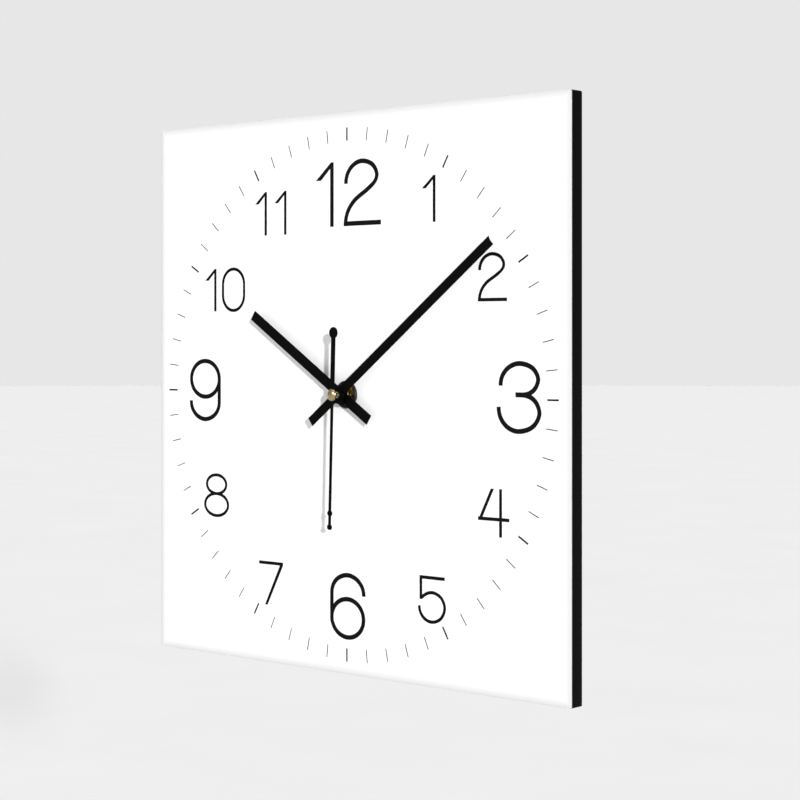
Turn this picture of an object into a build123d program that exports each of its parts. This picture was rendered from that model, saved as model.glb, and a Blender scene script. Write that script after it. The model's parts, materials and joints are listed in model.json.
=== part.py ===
from build123d import *
import os
from math import cos, hypot, pi, radians, sin, sqrt

os.makedirs("parts", exist_ok=True)

# A square, frameless wall clock: a black-edged board with a white face sheet,
# printed numerals and a minute track, three baton hands and a quartz movement.
#
# Everything is drawn in the clock's own frame, in millimetres: X to the right as
# the dial is read, Y up, and Z forward from the wall, with the hands' axis on Z.
# The last section turns each piece to the row's frame, where Z is up and the
# dial faces -Y.

# ---------------------------------------------------------------- driving sizes

# Board and face sheet
clock_width = 300.0
clock_height = 300.0
face_rise = 0.8  # centre of the board and the face above the hands' axis
board_thickness = 8.4
face_thickness = 0.8
rolled_border = 4.5  # width of the gently rolled border of the face sheet
rolled_drop = 0.2  # how far the border falls away at the sheet's edge
roll_middle = 0.35  # share of the border, in from the edge, where the roll's middle lies
roll_middle_fall = 0.44  # share of the drop reached there
print_height = 0.12  # raised ink of the numerals and the marks

# Dial
track_margin = 7.5  # face edge to the outer end of the marks
track_mark_length = 7.0
hour_mark_width = 0.9
minute_mark_width = 0.45
large_numeral_height = 34.6
small_numeral_height = 24.1
numeral_weight = 0.0723  # stroke width over numeral height

# Hands, as they stand when the clock is at rest
hand_thickness = 0.4
hand_edge = 0.12  # bevel round the front of each hand
hour_hand_angle = 302.4
hour_hand_length = 79.7
hour_hand_tail = 24.3
hour_hand_width = 5.8
hour_hub_diameter = 10.8
minute_hand_angle = 53.2
minute_tip_gap = 3.6  # tip to the inner end of the marks
minute_hand_tail = 25.2
minute_hand_width = 5.2
minute_hub_diameter = 9.4
minute_tip_hollow = 0.5  # how far the tip's cut bows in
second_hand_angle = 181.6
second_hand_length = 71.6
second_hand_tail = 33.0  # axis to the centre of the round counterweight
second_tail_width = 3.1
second_blade_width = 2.0
second_tip_width = 1.9
second_hub_diameter = 6.0
counterweight_diameter = 6.1
cross_bar_length = 3.6  # the two small rounded bars near the tip
cross_bar_width = 2.9
cross_bar_place = 62.8
cap_diameter = 6.3
cap_height = 1.4
cap_rim = 0.5  # straight part of the cap below its dome

# Free space behind each hand, down to the piece it clears
hour_hand_space = 0.9
minute_hand_space = 2.0
second_hand_space = 3.7
pipe_end = 0.25  # how far the hour pipe and the minute arbor stand past their hands
hand_collet_wall = 1.0
second_collet_wall = 0.6

# Fits
running_gap = 0.05  # radial, between a turning piece and its bearing
seat_gap = 0.1  # between fixed pieces that drop into each other
free_gap = 0.3  # between moving pieces that must never touch
end_float = 0.1  # along an arbor, at each of its ends
weld = 0.1  # how far joined shapes of one piece reach into each other

# Stack on the threaded bushing
bushing_wall = 1.4
bushing_stand = 0.7  # bushing's end past the nut
bushing_flange_rim = 2.05  # rims are measured outward from the bushing
bushing_flange_thickness = 0.7
hanger_thickness = 1.2
gasket_rim = 10.05
gasket_thickness = 0.8
dial_washer_rim = 3.55
dial_washer_thickness = 0.7
brass_washer_rim = 1.8
brass_washer_thickness = 0.4
nut_rim = 1.05
nut_thickness = 2.0
nut_corner_cut = 0.35
nut_corner_slope = 1.6

# Hanger and wall spacers
hanger_width = 24.0
hanger_bottom = -14.0
hanger_eye_radius = 4.0
hanger_eye_rise = 9.5  # eye centre above the top of the case
hanger_gap = 0.5  # between the top of the case and the hanger's shelf
hanger_bend_radius = 1.5
hanger_corner_flat = 0.5  # short of a full round at each end
spacer_inset = 35.0  # from both edges of the board
spacer_base_diameter = 18.0
spacer_tip_diameter = 14.0

# Movement case
case_wall = 1.2
case_corner_radius = 3.0
bay_partition = 1.0
cover_thickness = 1.5
cover_peg_radius = 0.9
cover_peg_length = 3.5
cover_post_radius = 1.5
cover_post_side_inset = 2.8
cover_post_end_inset = 2.2
train_plate_thickness = 0.8
train_plate_margin = 2.0  # plate edge past its posts
plate_post_radius = 1.5
plate_pin_radius = 0.8
plate_case_gap = 1.0  # from the plate to the posts at the side of the case
plate_post_right = 2.3  # past the rotor
plate_post_rise = 5.2  # above the rotor
plate_post_low = 2.4  # above the floor of the train space

# Battery (AA cell) and its contacts
cell_diameter = 14.2
cell_body_length = 49.5
cell_nub_diameter = 5.5
cell_nub_length = 1.0
cell_edge = 0.5
cell_side_gap = 0.3
cell_back_room = 0.95  # from the wall to the battery
contact_thickness = 0.3
contact_width = 5.0
contact_wall_gap = 0.1
contact_touch_gap = 0.05
leaf_depth = 2.2  # how far the spring leaf bows out from its wall
leaf_half = 5.0
leaf_slant = 2.4

# Arbors
second_arbor_radius = 0.5
minute_arbor_wall = 1.0
hour_pipe_wall = 0.9
setting_arbor_radius = 0.9
train_arbor_radius = 0.5
arbor_shoulder = 0.2  # where an arbor's body starts, behind its wheel
pivot_radius = 0.35
pivot_boss_radius = 1.3
pivot_seat = 0.7  # how near the wall the back pivots' holes reach
pivot_clearance = 0.15
front_pivot_radius = 0.5
front_boss_radius = 1.6
front_boss_depth = 0.8

# Gear train: teeth and modules
rotor_teeth = 8
intermediate_teeth = 40
intermediate_pinion_teeth = 10
second_wheel_teeth = 60
second_pinion_teeth = 8
third_wheel_teeth = 60
third_pinion_teeth = 8
centre_wheel_teeth = 64
cannon_teeth = 12
minute_wheel_teeth = 36
minute_pinion_teeth = 10
hour_wheel_teeth = 40
rotor_module = 0.30
centre_module = 0.32
# Tooth shape: addendum and dedendum in modules, and the share of the pitch that the
# tooth fills at its pitch line and at its tip. Flanks are radial below the pitch line.
wheel_tooth = {"addendum": 0.9, "dedendum": 1.1, "share": 0.40, "tip": 0.14}
pinion_tooth = {"addendum": 0.5, "dedendum": 1.25, "share": 0.38, "tip": 0.20}
intermediate_bearing = 50.0  # direction of the intermediate arbor from the hands
rotor_bearing = 20.0  # direction of the rotor from the intermediate arbor
third_bearing = 135.0  # direction of the third arbor from the hands
setting_bearing = 0.0  # direction of the setting arbor from the hands
wheel_thickness = 0.7
rim_width = 0.9
hub_width = 1.2
spoke_width = 1.1
pinion_margin = 0.4  # how far a pinion reaches past each face of the wheel it drives
wheel_edge_gap = 0.472  # between the widest wheel's teeth and the battery bay
intermediate_wheel_gap = 0.522  # from the centre wheel's teeth to the arbors beside them
setting_wheel_gap = 0.572

# Free space in front of each part of the train, from the cover forward
cover_space = 1.1
intermediate_wheel_space = 0.9
second_wheel_space = 1.1
third_wheel_space = 1.9
centre_wheel_space = 0.4
train_plate_space = 0.5
minute_wheel_space = 1.2
hour_wheel_space = 1.0

# Minute arbor: collar, friction clutch and cannon pinion
collar_rim = 0.6
collar_thickness = 0.5
spring_thickness = 0.3
spring_reach = 5.0
spring_arm_width = 1.6
spring_pad = 0.6
spring_hub_rim = 1.1
cannon_float = 0.2
cannon_margin = 0.6

# Setting knob
knob_diameter = 9.0
knob_thickness = 1.75
knob_recess = 0.35
knob_grip_count = 20
knob_grip_radius = 0.45
knob_web = 0.4
knob_hub_wall = 0.7
knob_hub_length = 1.7
knob_slot_width = 1.0
knob_slot_length = 6.0
knob_slot_depth = 0.8

# Stepping motor
magnet_diameter = 5.6
magnet_length = 2.5
stator_thickness = 0.9
stator_space = 0.3  # between the third wheel and the stator
stator_hole_diameter = 6.8
stator_neck = 0.4
coil_offset = 8.2  # rotor axis to coil axis, along X
stator_arm_width = 3.6
stator_end = 1.5  # stator past the coil's core
stator_side_gap = 1.2  # from the stator to the side of the case
arbor_room = 1.9  # from the setting arbor to the stator
coil_core_width = 3.4
coil_length = 12.2
coil_flange_size = 6.6
coil_flange_thickness = 0.8
coil_winding_size = 5.9
bobbin_wall = 0.4
coil_end_gap = 0.6
winding_corner = 1.6

# Circuit board
circuit_height = 6.4
circuit_thickness = 0.8
circuit_wheel_gap = 1.3845  # above the third wheel
circuit_stator_gap = 1.9
circuit_post_gap = 1.0
circuit_rib_width = 1.0
circuit_rib_inset = 6.5
circuit_rib_gap = 0.4
crystal_diameter = 2.0
crystal_length = 6.0
crystal_inset = 8.0
crystal_height = 1.6
chip_diameter = 4.8
chip_height = 1.1
chip_inset = 12.0
tab_width = 2.0  # soldered tabs of the two contacts
tab_inset = 0.3
tab_edge = 1.0
tab_length = 2.4

# ------------------------------------------------------------- worked-out places


def polar(distance, bearing):
    """Point at a distance from the hands' axis, its bearing measured from +X."""
    return (distance * cos(radians(bearing)), distance * sin(radians(bearing)))


def shifted(point, step):
    """Sum of two plane points."""
    return (point[0] + step[0], point[1] + step[1])


def tip_radius(teeth, module, tooth=wheel_tooth):
    """Radius over the tips of a toothed wheel."""
    return module * (teeth / 2 + tooth["addendum"])


# Pipes that run in each other, from the seconds arbor outward
second_bore = second_arbor_radius + running_gap
minute_arbor_radius = second_bore + minute_arbor_wall
hour_bore = minute_arbor_radius + running_gap
hour_pipe_radius = hour_bore + hour_pipe_wall
bushing_bore = hour_pipe_radius + running_gap
bushing_radius = bushing_bore + bushing_wall
bushing_seat = bushing_radius + running_gap

# Levels of the train, from the wall forward
intermediate_wheel_back = cover_thickness + cover_space
second_wheel_back = intermediate_wheel_back + wheel_thickness + intermediate_wheel_space
third_wheel_back = second_wheel_back + wheel_thickness + second_wheel_space
centre_wheel_back = third_wheel_back + wheel_thickness + third_wheel_space
train_plate_back = centre_wheel_back + wheel_thickness + centre_wheel_space
train_plate_front = train_plate_back + train_plate_thickness
minute_wheel_back = train_plate_front + train_plate_space
hour_wheel_back = minute_wheel_back + wheel_thickness + minute_wheel_space
train_depth = hour_wheel_back + wheel_thickness + hour_wheel_space + bushing_flange_thickness
stator_back = third_wheel_back + wheel_thickness + stator_space
stator_front = stator_back + stator_thickness
circuit_back = stator_back
circuit_front = circuit_back + circuit_thickness

# Arbors of the train
centre_wheel_tips = tip_radius(centre_wheel_teeth, centre_module)
intermediate_reach = centre_wheel_tips + intermediate_wheel_gap + train_arbor_radius
intermediate_module = 2 * intermediate_reach / (second_wheel_teeth + intermediate_pinion_teeth)
rotor_reach = rotor_module * (intermediate_teeth + rotor_teeth) / 2
third_reach = centre_module * (centre_wheel_teeth + third_pinion_teeth) / 2
third_module = 2 * third_reach / (third_wheel_teeth + second_pinion_teeth)
setting_reach = centre_wheel_tips + setting_wheel_gap + setting_arbor_radius
cannon_module = 2 * setting_reach / (cannon_teeth + minute_wheel_teeth)
hour_module = 2 * setting_reach / (hour_wheel_teeth + minute_pinion_teeth)
hands_axis = (0.0, 0.0)
intermediate_axis = polar(intermediate_reach, intermediate_bearing)
rotor_axis = shifted(intermediate_axis, polar(rotor_reach, rotor_bearing))
third_axis = polar(third_reach, third_bearing)
setting_axis = polar(setting_reach, setting_bearing)

# Stator and coil, placed from the rotor
coil_x = rotor_axis[0] + coil_offset
stator_half = stator_hole_diameter / 2 + stator_neck
stator_left = rotor_axis[0] - stator_half
stator_right = coil_x + coil_core_width / 2 + stator_end
arm_reach = (coil_length + stator_arm_width) / 2 + coil_end_gap
lower_arm_low = rotor_axis[1] - arm_reach - stator_arm_width / 2
lower_arm_high = lower_arm_low + stator_arm_width
upper_arm_high = rotor_axis[1] + arm_reach + stator_arm_width / 2
upper_arm_low = upper_arm_high - stator_arm_width

# Circuit board over the third wheel
circuit_low = third_axis[1] + tip_radius(third_wheel_teeth, third_module) + circuit_wheel_gap
circuit_high = circuit_low + circuit_height
circuit_right = stator_left - circuit_stator_gap

# Movement case round the battery and the train
cell_length = cell_body_length + cell_nub_length
nub_room = contact_wall_gap + contact_thickness + contact_touch_gap
battery_room = cell_length + leaf_depth + 2 * nub_room
case_inner = max(battery_room / 2, stator_right + stator_side_gap)
case_half = case_inner + case_wall
contact_outer = case_inner - contact_wall_gap
contact_inner = contact_outer - contact_thickness
contact_low = circuit_high
contact_high = contact_low + contact_thickness
case_inner_top = max(contact_high + contact_wall_gap, upper_arm_high + stator_side_gap)
case_top = case_inner_top + case_wall
case_inner_front = max(train_depth, cell_back_room + cell_diameter + cell_side_gap / 2)
case_depth = case_inner_front + case_wall
second_wheel_tips = tip_radius(second_wheel_teeth, intermediate_module)
hour_wheel_tips = tip_radius(hour_wheel_teeth, hour_module)
minute_wheel_low = tip_radius(minute_wheel_teeth, cannon_module) - setting_axis[1]
train_bottom = -max(second_wheel_tips, centre_wheel_tips, hour_wheel_tips, minute_wheel_low) - wheel_edge_gap
bay_top = train_bottom - bay_partition
bay_height = cell_diameter + 2 * cell_side_gap
bay_bottom = bay_top - bay_height
case_bottom = bay_bottom - case_wall
cell_y = bay_top - bay_height / 2
cell_z = case_inner_front - cell_diameter / 2 - cell_side_gap / 2
circuit_left = cover_post_side_inset + cover_post_radius + circuit_post_gap - case_inner

# Board, face and the stack in front of it
hanger_front = case_depth + hanger_thickness
board_back = hanger_front + gasket_thickness
board_front = board_back + board_thickness
face_front = board_front + face_thickness
washer_front = face_front + dial_washer_thickness
brass_washer_front = washer_front + brass_washer_thickness
nut_front = brass_washer_front + nut_thickness
bushing_front = nut_front + bushing_stand
hour_hand_back = bushing_front + hour_hand_space
hour_hand_front = hour_hand_back + hand_thickness
minute_hand_back = hour_hand_front + minute_hand_space
minute_hand_front = minute_hand_back + hand_thickness
second_hand_back = minute_hand_front + second_hand_space
second_hand_front = second_hand_back + hand_thickness

track_outer_radius = min(clock_width, clock_height) / 2 - track_margin
minute_hand_length = track_outer_radius - track_mark_length - minute_tip_gap

# ------------------------------------------------------------------ basic shapes


def rod(radius, back, front, centre=hands_axis):
    """Round bar along Z from back to front."""
    return Pos(centre[0], centre[1], back) * extrude(Circle(radius), front - back)


def tube(outer, inner, back, front, centre=hands_axis):
    """Round tube along Z from back to front."""
    return Pos(centre[0], centre[1], back) * extrude(Circle(outer) - Circle(inner), front - back)


def block(left, right, low, high, back, front):
    """Box between two corners."""
    return Pos(left, low, back) * Box(
        right - left, high - low, front - back, align=(Align.MIN, Align.MIN, Align.MIN)
    )


def plate(outline, back, thickness):
    """Flat outline extruded forward from its back face."""
    return Pos(0, 0, back) * extrude(outline, thickness)


# -------------------------------------------------------------------- the wheels


def toothed_outline(teeth, module, phase, tooth):
    """Closed outline of a toothed wheel with one tooth centred at the phase angle."""
    pitch_radius = module * teeth / 2
    root_radius = pitch_radius - module * tooth["dedendum"]
    top_radius = tip_radius(teeth, module, tooth)
    flank_angle = tooth["share"] * pi / teeth
    top_angle = tooth["tip"] * pi / teeth
    corners = (
        (root_radius, -flank_angle),
        (pitch_radius, -flank_angle),
        (top_radius, -top_angle),
        (top_radius, top_angle),
        (pitch_radius, flank_angle),
        (root_radius, flank_angle),
    )
    points = []
    for index in range(teeth):
        middle = phase + 2 * pi * index / teeth
        for radius, angle in corners:
            points.append((radius * cos(middle + angle), radius * sin(middle + angle)))
    return make_face(Polyline(*points, close=True))


def meshing_phase(teeth, phase, mate_teeth, bearing):
    """Phase that puts the mate's gap on the wheel's tooth along the line of centres."""
    line = radians(bearing)
    return line + pi - teeth / mate_teeth * (phase - line) - pi / mate_teeth


def wheel(teeth, module, phase, bore, back, centre, spokes=0, tooth=wheel_tooth):
    """Thin toothed wheel with a bore, and spokes between its hub and its rim."""
    outline = toothed_outline(teeth, module, phase, tooth) - Circle(bore)
    if spokes:
        rim = module * (teeth / 2 - tooth["dedendum"]) - rim_width
        openings = Circle(rim) - Circle(bore + hub_width)
        openings -= PolarLocations(rim / 2, spokes) * Rectangle(rim, spoke_width)
        outline -= openings
    return Pos(centre[0], centre[1], 0) * plate(outline, back, wheel_thickness)


def pinion(teeth, module, phase, back, front, centre, bore=0.0):
    """Long toothed pinion, solid or with a bore."""
    outline = toothed_outline(teeth, module, phase, pinion_tooth)
    if bore:
        outline -= Circle(bore)
    return Pos(centre[0], centre[1], 0) * plate(outline, back, front - back)


nodes = {}

# ------------------------------------------------------------ board and face sheet


def rolled_section(length):
    """Section of the face sheet across one direction: flat, with both borders rolled."""
    half = length / 2
    back = board_front
    shoulder = half - rolled_border
    edge_front = face_front - rolled_drop
    mid = (half - rolled_border * roll_middle, face_front - rolled_drop * roll_middle_fall)
    crown = Line((-shoulder, face_front), (shoulder, face_front))
    right = ThreePointArc((shoulder, face_front), mid, (half, edge_front))
    left = ThreePointArc((-half, edge_front), (-mid[0], mid[1]), (-shoulder, face_front))
    sides = Polyline((half, edge_front), (half, back), (-half, back), (-half, edge_front))
    return make_face([crown, right, sides, left])


bushing_hole = bushing_radius + seat_gap
upright_section = Plane((0, 0, 0), x_dir=(1, 0, 0), z_dir=(0, -1, 0)) * rolled_section(clock_width)
level_section = Plane((0, 0, 0), x_dir=(0, 1, 0), z_dir=(1, 0, 0)) * rolled_section(clock_height)
face_sheet = extrude(upright_section, clock_height / 2, both=True)
face_sheet &= extrude(level_section, clock_width / 2, both=True)
nodes["face_sheet"] = Pos(0, face_rise, 0) * face_sheet - rod(bushing_hole, board_front, face_front)

board_blank = plate(Rectangle(clock_width, clock_height), board_back, board_thickness)
nodes["board"] = Pos(0, face_rise, 0) * board_blank - rod(bushing_hole, board_back, board_front)

# ------------------------------------------------------------------------ the dial

# Each glyph is drawn one unit high with its left edge at X = 0, and its strokes are
# one weight wide. Strokes are centrelines given by their turning points, where the
# pen runs level or upright.
weight = numeral_weight
pen = weight / 2
right_way = (1, 0)
left_way = (-1, 0)
up_way = (0, 1)
down_way = (0, -1)


def set_off(point, way, distance):
    """Point moved sideways, to the left of a way for a positive distance."""
    size = hypot(*way)
    return (point[0] - way[1] / size * distance, point[1] + way[0] / size * distance)


def rounded(points, ways):
    """The turning points and their ways, with each level and upright pair joined by a
    quarter of an ellipse: its middle is added between them, its way along their chord.
    """
    full_points = [points[0]]
    full_ways = [ways[0]]
    for start, end, start_way, end_way in zip(points, points[1:], ways, ways[1:]):
        square_on = 0 in start_way and 0 in end_way
        if square_on and (start_way[0] == 0) != (end_way[0] == 0):
            centre = (start[0], end[1]) if start_way[1] == 0 else (end[0], start[1])
            middle = [c + (a + b - 2 * c) / sqrt(2) for a, b, c in zip(start, end, centre)]
            full_points.append(tuple(middle))
            full_ways.append((end[0] - start[0], end[1] - start[1]))
        full_points.append(end)
        full_ways.append(end_way)
    return full_points, full_ways


def stroke(points, ways):
    """Stroke of one weight along a smooth line, both edges set off from its turning points."""
    points, ways = rounded(points, ways)
    units = [(way[0] / hypot(*way), way[1] / hypot(*way)) for way in ways]
    left = [set_off(point, way, pen) for point, way in zip(points, units)]
    right = [set_off(point, way, -pen) for point, way in zip(points, units)]
    edges = (
        Spline(*left, tangents=units),
        Line(left[-1], right[-1]),
        Spline(*right, tangents=units),
        Line(right[0], left[0]),
    )
    return make_face(edges)


def ring_stroke(left, right, low, high):
    """Closed oval stroke between its outer edges."""
    across = (right - left) / 2
    tall = (high - low) / 2
    middle = Pos((left + right) / 2, (low + high) / 2)
    return middle * Ellipse(across, tall) - middle * Ellipse(across - weight, tall - weight)


def glyph_1():
    """Upright stem with a short flag, drawn about the stem's centre line."""
    flag = Polyline(
        (-0.349, 0.727), (-0.237, 0.727), (-pen, 0.905), (-pen, 0.0), (pen, 0.0), (pen, 1.0), (-0.02, 1.0),
        close=True,
    )
    return make_face(flag)


def glyph_2():
    """Open bowl that runs down to a level foot."""
    bowl = stroke(
        ((0.055, 0.653), (0.387, 0.988), (0.704, 0.765), (0.503, 0.545)),
        (up_way, right_way, down_way, (-0.8, -0.5)),
    )
    neck = stroke(
        ((0.503, 0.545), (0.214, 0.37), (0.044, 0.0)),
        ((-0.8, -0.5), (-0.75, -0.68), down_way),
    )
    return bowl + neck + Pos(0.4, pen) * Rectangle(0.778, weight)


def glyph_3():
    """Two open bowls that meet at a short level bar."""
    upper = stroke(
        ((0.074, 0.665), (0.422, 0.988), (0.762, 0.763), (0.47, 0.539)),
        (up_way, right_way, down_way, left_way),
    )
    lower = stroke(
        ((0.47, 0.539), (0.785, 0.286), (0.393, 0.0145), (0.038, 0.361)),
        (right_way, down_way, left_way, up_way),
    )
    return upper + lower + Pos(0.42, 0.539) * Rectangle(0.14, weight)


def glyph_4():
    """Diagonal to a level bar, crossed by an upright stem, open at the top."""
    diagonal = make_face(Polyline((0.0, 0.331), (0.0816, 0.331), (0.426, 1.0), (0.345, 1.0), close=True))
    bar = Pos(0.4188, 0.367) * Rectangle(0.8375, weight)
    stem = Pos(0.606, 0.5) * Rectangle(weight, 1.0)
    return diagonal + bar + stem


def glyph_5():
    """Level bar and short stem over an open bowl."""
    bar = Pos(0.404, 1 - pen) * Rectangle(0.708, weight)
    stem = Pos(0.084, 0.745) * Rectangle(weight, 0.51)
    bowl = stroke(
        ((0.082, 0.512), (0.404, 0.650), (0.758, 0.345), (0.383, 0.02), (0.038, 0.35)),
        ((0.75, 0.6), right_way, down_way, left_way, up_way),
    )
    return bar + stem + bowl


def six_strokes():
    """Round bowl and the tall stem that curves over it."""
    bowl = ring_stroke(0.0, 0.748, -0.02, 0.641)
    stem = stroke(
        ((0.0375, 0.32), (0.0375, 0.69), (0.379, 0.975), (0.717, 0.672)),
        (up_way, up_way, right_way, down_way),
    )
    return bowl, stem


def glyph_6():
    """Bowl and stem."""
    bowl, stem = six_strokes()
    return bowl + stem


def glyph_7():
    """Level bar with a diagonal that falls from its right end."""
    bar = Pos(0.39, 1 - pen) * Rectangle(0.78, weight)
    diagonal = make_face(
        Polyline((0.70, 1 - pen), (0.78, 1 - pen), (0.78, 0.93), (0.276, 0.0), (0.196, 0.0), close=True)
    )
    return bar + diagonal


def glyph_8():
    """Smaller oval over a larger one."""
    upper = ring_stroke(0.0625, 0.7975, 0.533 - pen, 1.01)
    lower = ring_stroke(0.0, 0.86, -0.02, 0.533 + pen)
    return upper + lower


def glyph_9():
    """The six turned half round."""
    bowl, stem = six_strokes()
    half_turn = Pos(0.749, 1.0) * Rot(0, 0, 180)
    return half_turn * bowl + half_turn * stem


def glyph_0():
    """Tall oval with straight sides."""
    middle = Pos(0.395, 0.5)
    outer = middle * RectangleRounded(0.79, 1.04, 0.394)
    return outer - middle * RectangleRounded(0.79 - 2 * weight, 1.04 - 2 * weight, 0.394 - weight)


glyphs = {
    "0": glyph_0,
    "1": glyph_1,
    "2": glyph_2,
    "3": glyph_3,
    "4": glyph_4,
    "5": glyph_5,
    "6": glyph_6,
    "7": glyph_7,
    "8": glyph_8,
    "9": glyph_9,
}

# Each numeral: its height, its bearing clockwise from twelve, how far its middle lies
# inside the track, and the gap between its digits as a share of its height.
numerals = (
    ("12", large_numeral_height, 0.4, 35.3, 0.218),
    ("1", small_numeral_height, 29.7, 25.2, 0),
    ("2", small_numeral_height, 58.9, 25.0, 0),
    ("3", large_numeral_height, 89.6, 24.9, 0),
    ("4", small_numeral_height, 119.4, 26.1, 0),
    ("5", small_numeral_height, 149.9, 22.1, 0),
    ("6", large_numeral_height, 179.7, 29.7, 0),
    ("7", small_numeral_height, 208.8, 22.1, 0),
    ("8", small_numeral_height, 240.0, 24.4, 0),
    ("9", large_numeral_height, 270.1, 30.7, 0),
    ("10", small_numeral_height, 301.0, 31.4, 0.192),
    ("11", small_numeral_height, 329.5, 27.7, 0.253),
)


def printed(outline):
    """Thin raised print of an outline on the face."""
    return plate(outline, face_front, print_height)


numeral_prints = []
for text, height, bearing, inset, gap in numerals:
    digits = [scale(glyphs[digit](), by=height) for digit in text]
    spans = [digit.bounding_box() for digit in digits]
    total = sum(span.size.X for span in spans) + gap * height * (len(text) - 1)
    centre = polar(track_outer_radius - inset, 90 - bearing)
    left = centre[0] - total / 2
    for digit, span in zip(digits, spans):
        numeral_prints.append(printed(Pos(left - span.min.X, centre[1] - height / 2) * digit))
        left += span.size.X + gap * height
nodes["numerals"] = Compound(children=[solid for item in numeral_prints for solid in item.solids()])

hour_marks = []
minute_marks = []
track_radius = track_outer_radius - track_mark_length / 2
for minute in range(60):
    on_the_hour = minute % 5 == 0
    width = hour_mark_width if on_the_hour else minute_mark_width
    mark = Rot(0, 0, 6 * minute) * Pos(0, track_radius) * Rectangle(width, track_mark_length)
    (hour_marks if on_the_hour else minute_marks).append(printed(mark))
nodes["hour_marks"] = Compound(children=[mark.solid() for mark in hour_marks])
nodes["minute_marks"] = Compound(children=[mark.solid() for mark in minute_marks])

# --------------------------------------------------------------------- movement case


def case_block(half_width, low, high, back, front):
    """Box centred on X between two heights."""
    return block(-half_width, half_width, low, high, back, front)


post_side = case_inner - cover_post_side_inset
post_high = case_inner_top - cover_post_end_inset
post_low = train_bottom + cover_post_end_inset
cover_posts = ((-post_side, post_high), (post_side, post_high), (-post_side, post_low), (post_side, post_low))
peg_front = cover_thickness + cover_peg_length
plate_left = cover_post_radius + plate_case_gap + train_plate_margin - post_side
plate_right = rotor_axis[0] + plate_post_right
plate_high = rotor_axis[1] + plate_post_rise
plate_low = train_bottom + plate_post_low
plate_posts = ((plate_left, plate_low), (plate_left, plate_high), (plate_right, plate_high))

case_outline = RectangleRounded(2 * case_half, case_top - case_bottom, case_corner_radius)
movement_case = Pos(0, (case_top + case_bottom) / 2) * plate(case_outline, 0, case_depth)
movement_case -= case_block(case_inner, train_bottom, case_inner_top, 0, case_inner_front)
movement_case -= case_block(case_inner, bay_bottom, bay_top, 0, case_inner_front)
for post in cover_posts:
    movement_case += rod(cover_post_radius, cover_thickness, case_depth - case_wall / 2, post)
    movement_case -= rod(cover_peg_radius + running_gap, cover_thickness, peg_front + free_gap, post)
for post in plate_posts:
    movement_case += rod(plate_post_radius, train_plate_front, case_depth - case_wall / 2, post)
    movement_case += rod(plate_pin_radius, train_plate_back - free_gap, train_plate_front, post)
rib_front = case_inner_front + weld
rib_high = case_inner_top + weld
for left in (circuit_left + circuit_rib_inset, circuit_right - circuit_rib_inset - circuit_rib_width):
    right = left + circuit_rib_width
    movement_case += block(left, right, circuit_low + circuit_rib_gap, rib_high, circuit_front, rib_front)

contact_back = cell_z - contact_width / 2
contact_front = cell_z + contact_width / 2
notch_inner = contact_inner - contact_wall_gap
notch_back = contact_back - seat_gap
notch_front = contact_front + seat_gap
notch = block(notch_inner, case_inner, bay_top - weld, train_bottom + weld, notch_back, notch_front)
movement_case -= notch
movement_case -= mirror(notch, Plane.YZ)
movement_case -= rod(bushing_seat, 0, case_depth)

front_boss_back = case_inner_front - front_boss_depth
front_pivot_end = case_inner_front + case_wall / 3
front_pivot_hole = front_pivot_radius + running_gap
movement_case += rod(front_boss_radius, front_boss_back, case_inner_front + weld, setting_axis)
movement_case -= rod(front_pivot_hole, front_boss_back, front_pivot_end + running_gap, setting_axis)
nodes["movement_case"] = movement_case

# Back cover over the wheels; the battery bay below it stays open to the back.
cover_side = case_inner - seat_gap
cover_low = train_bottom + seat_gap
cover_high = case_inner_top - seat_gap
boss_gap = arbor_shoulder + end_float
knob_hole = knob_diameter / 2 + free_gap
pivot_bosses = (
    (hands_axis, second_wheel_back),
    (third_axis, second_wheel_back),
    (intermediate_axis, intermediate_wheel_back),
    (rotor_axis, intermediate_wheel_back),
)
movement_cover = case_block(cover_side, cover_low, cover_high, 0, cover_thickness)
for centre, wheel_back in pivot_bosses:
    movement_cover += rod(pivot_boss_radius, cover_thickness / 2, wheel_back - boss_gap, centre)
    movement_cover -= rod(pivot_radius + running_gap, pivot_seat, wheel_back - boss_gap, centre)
for post in cover_posts:
    movement_cover += rod(cover_peg_radius, cover_thickness / 2, peg_front, post)
movement_cover -= rod(knob_hole, 0, cover_thickness, setting_axis)
nodes["movement_cover"] = movement_cover

# Plate between the going train and the motion work
train_plate = block(
    plate_left - train_plate_margin,
    plate_right + train_plate_margin,
    plate_low - train_plate_margin,
    plate_high + train_plate_margin,
    train_plate_back,
    train_plate_front,
)
for post in plate_posts:
    train_plate -= rod(plate_pin_radius + running_gap, train_plate_back, train_plate_front, post)
train_plate -= rod(hour_bore, train_plate_back, train_plate_front)
train_plate -= rod(setting_arbor_radius + running_gap, train_plate_back, train_plate_front, setting_axis)
for centre in (third_axis, intermediate_axis, rotor_axis):
    train_plate -= rod(pivot_radius + running_gap, train_plate_back, train_plate_front, centre)
nodes["train_plate"] = train_plate

# ------------------------------------------------- bushing, nut, washers and gasket

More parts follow.
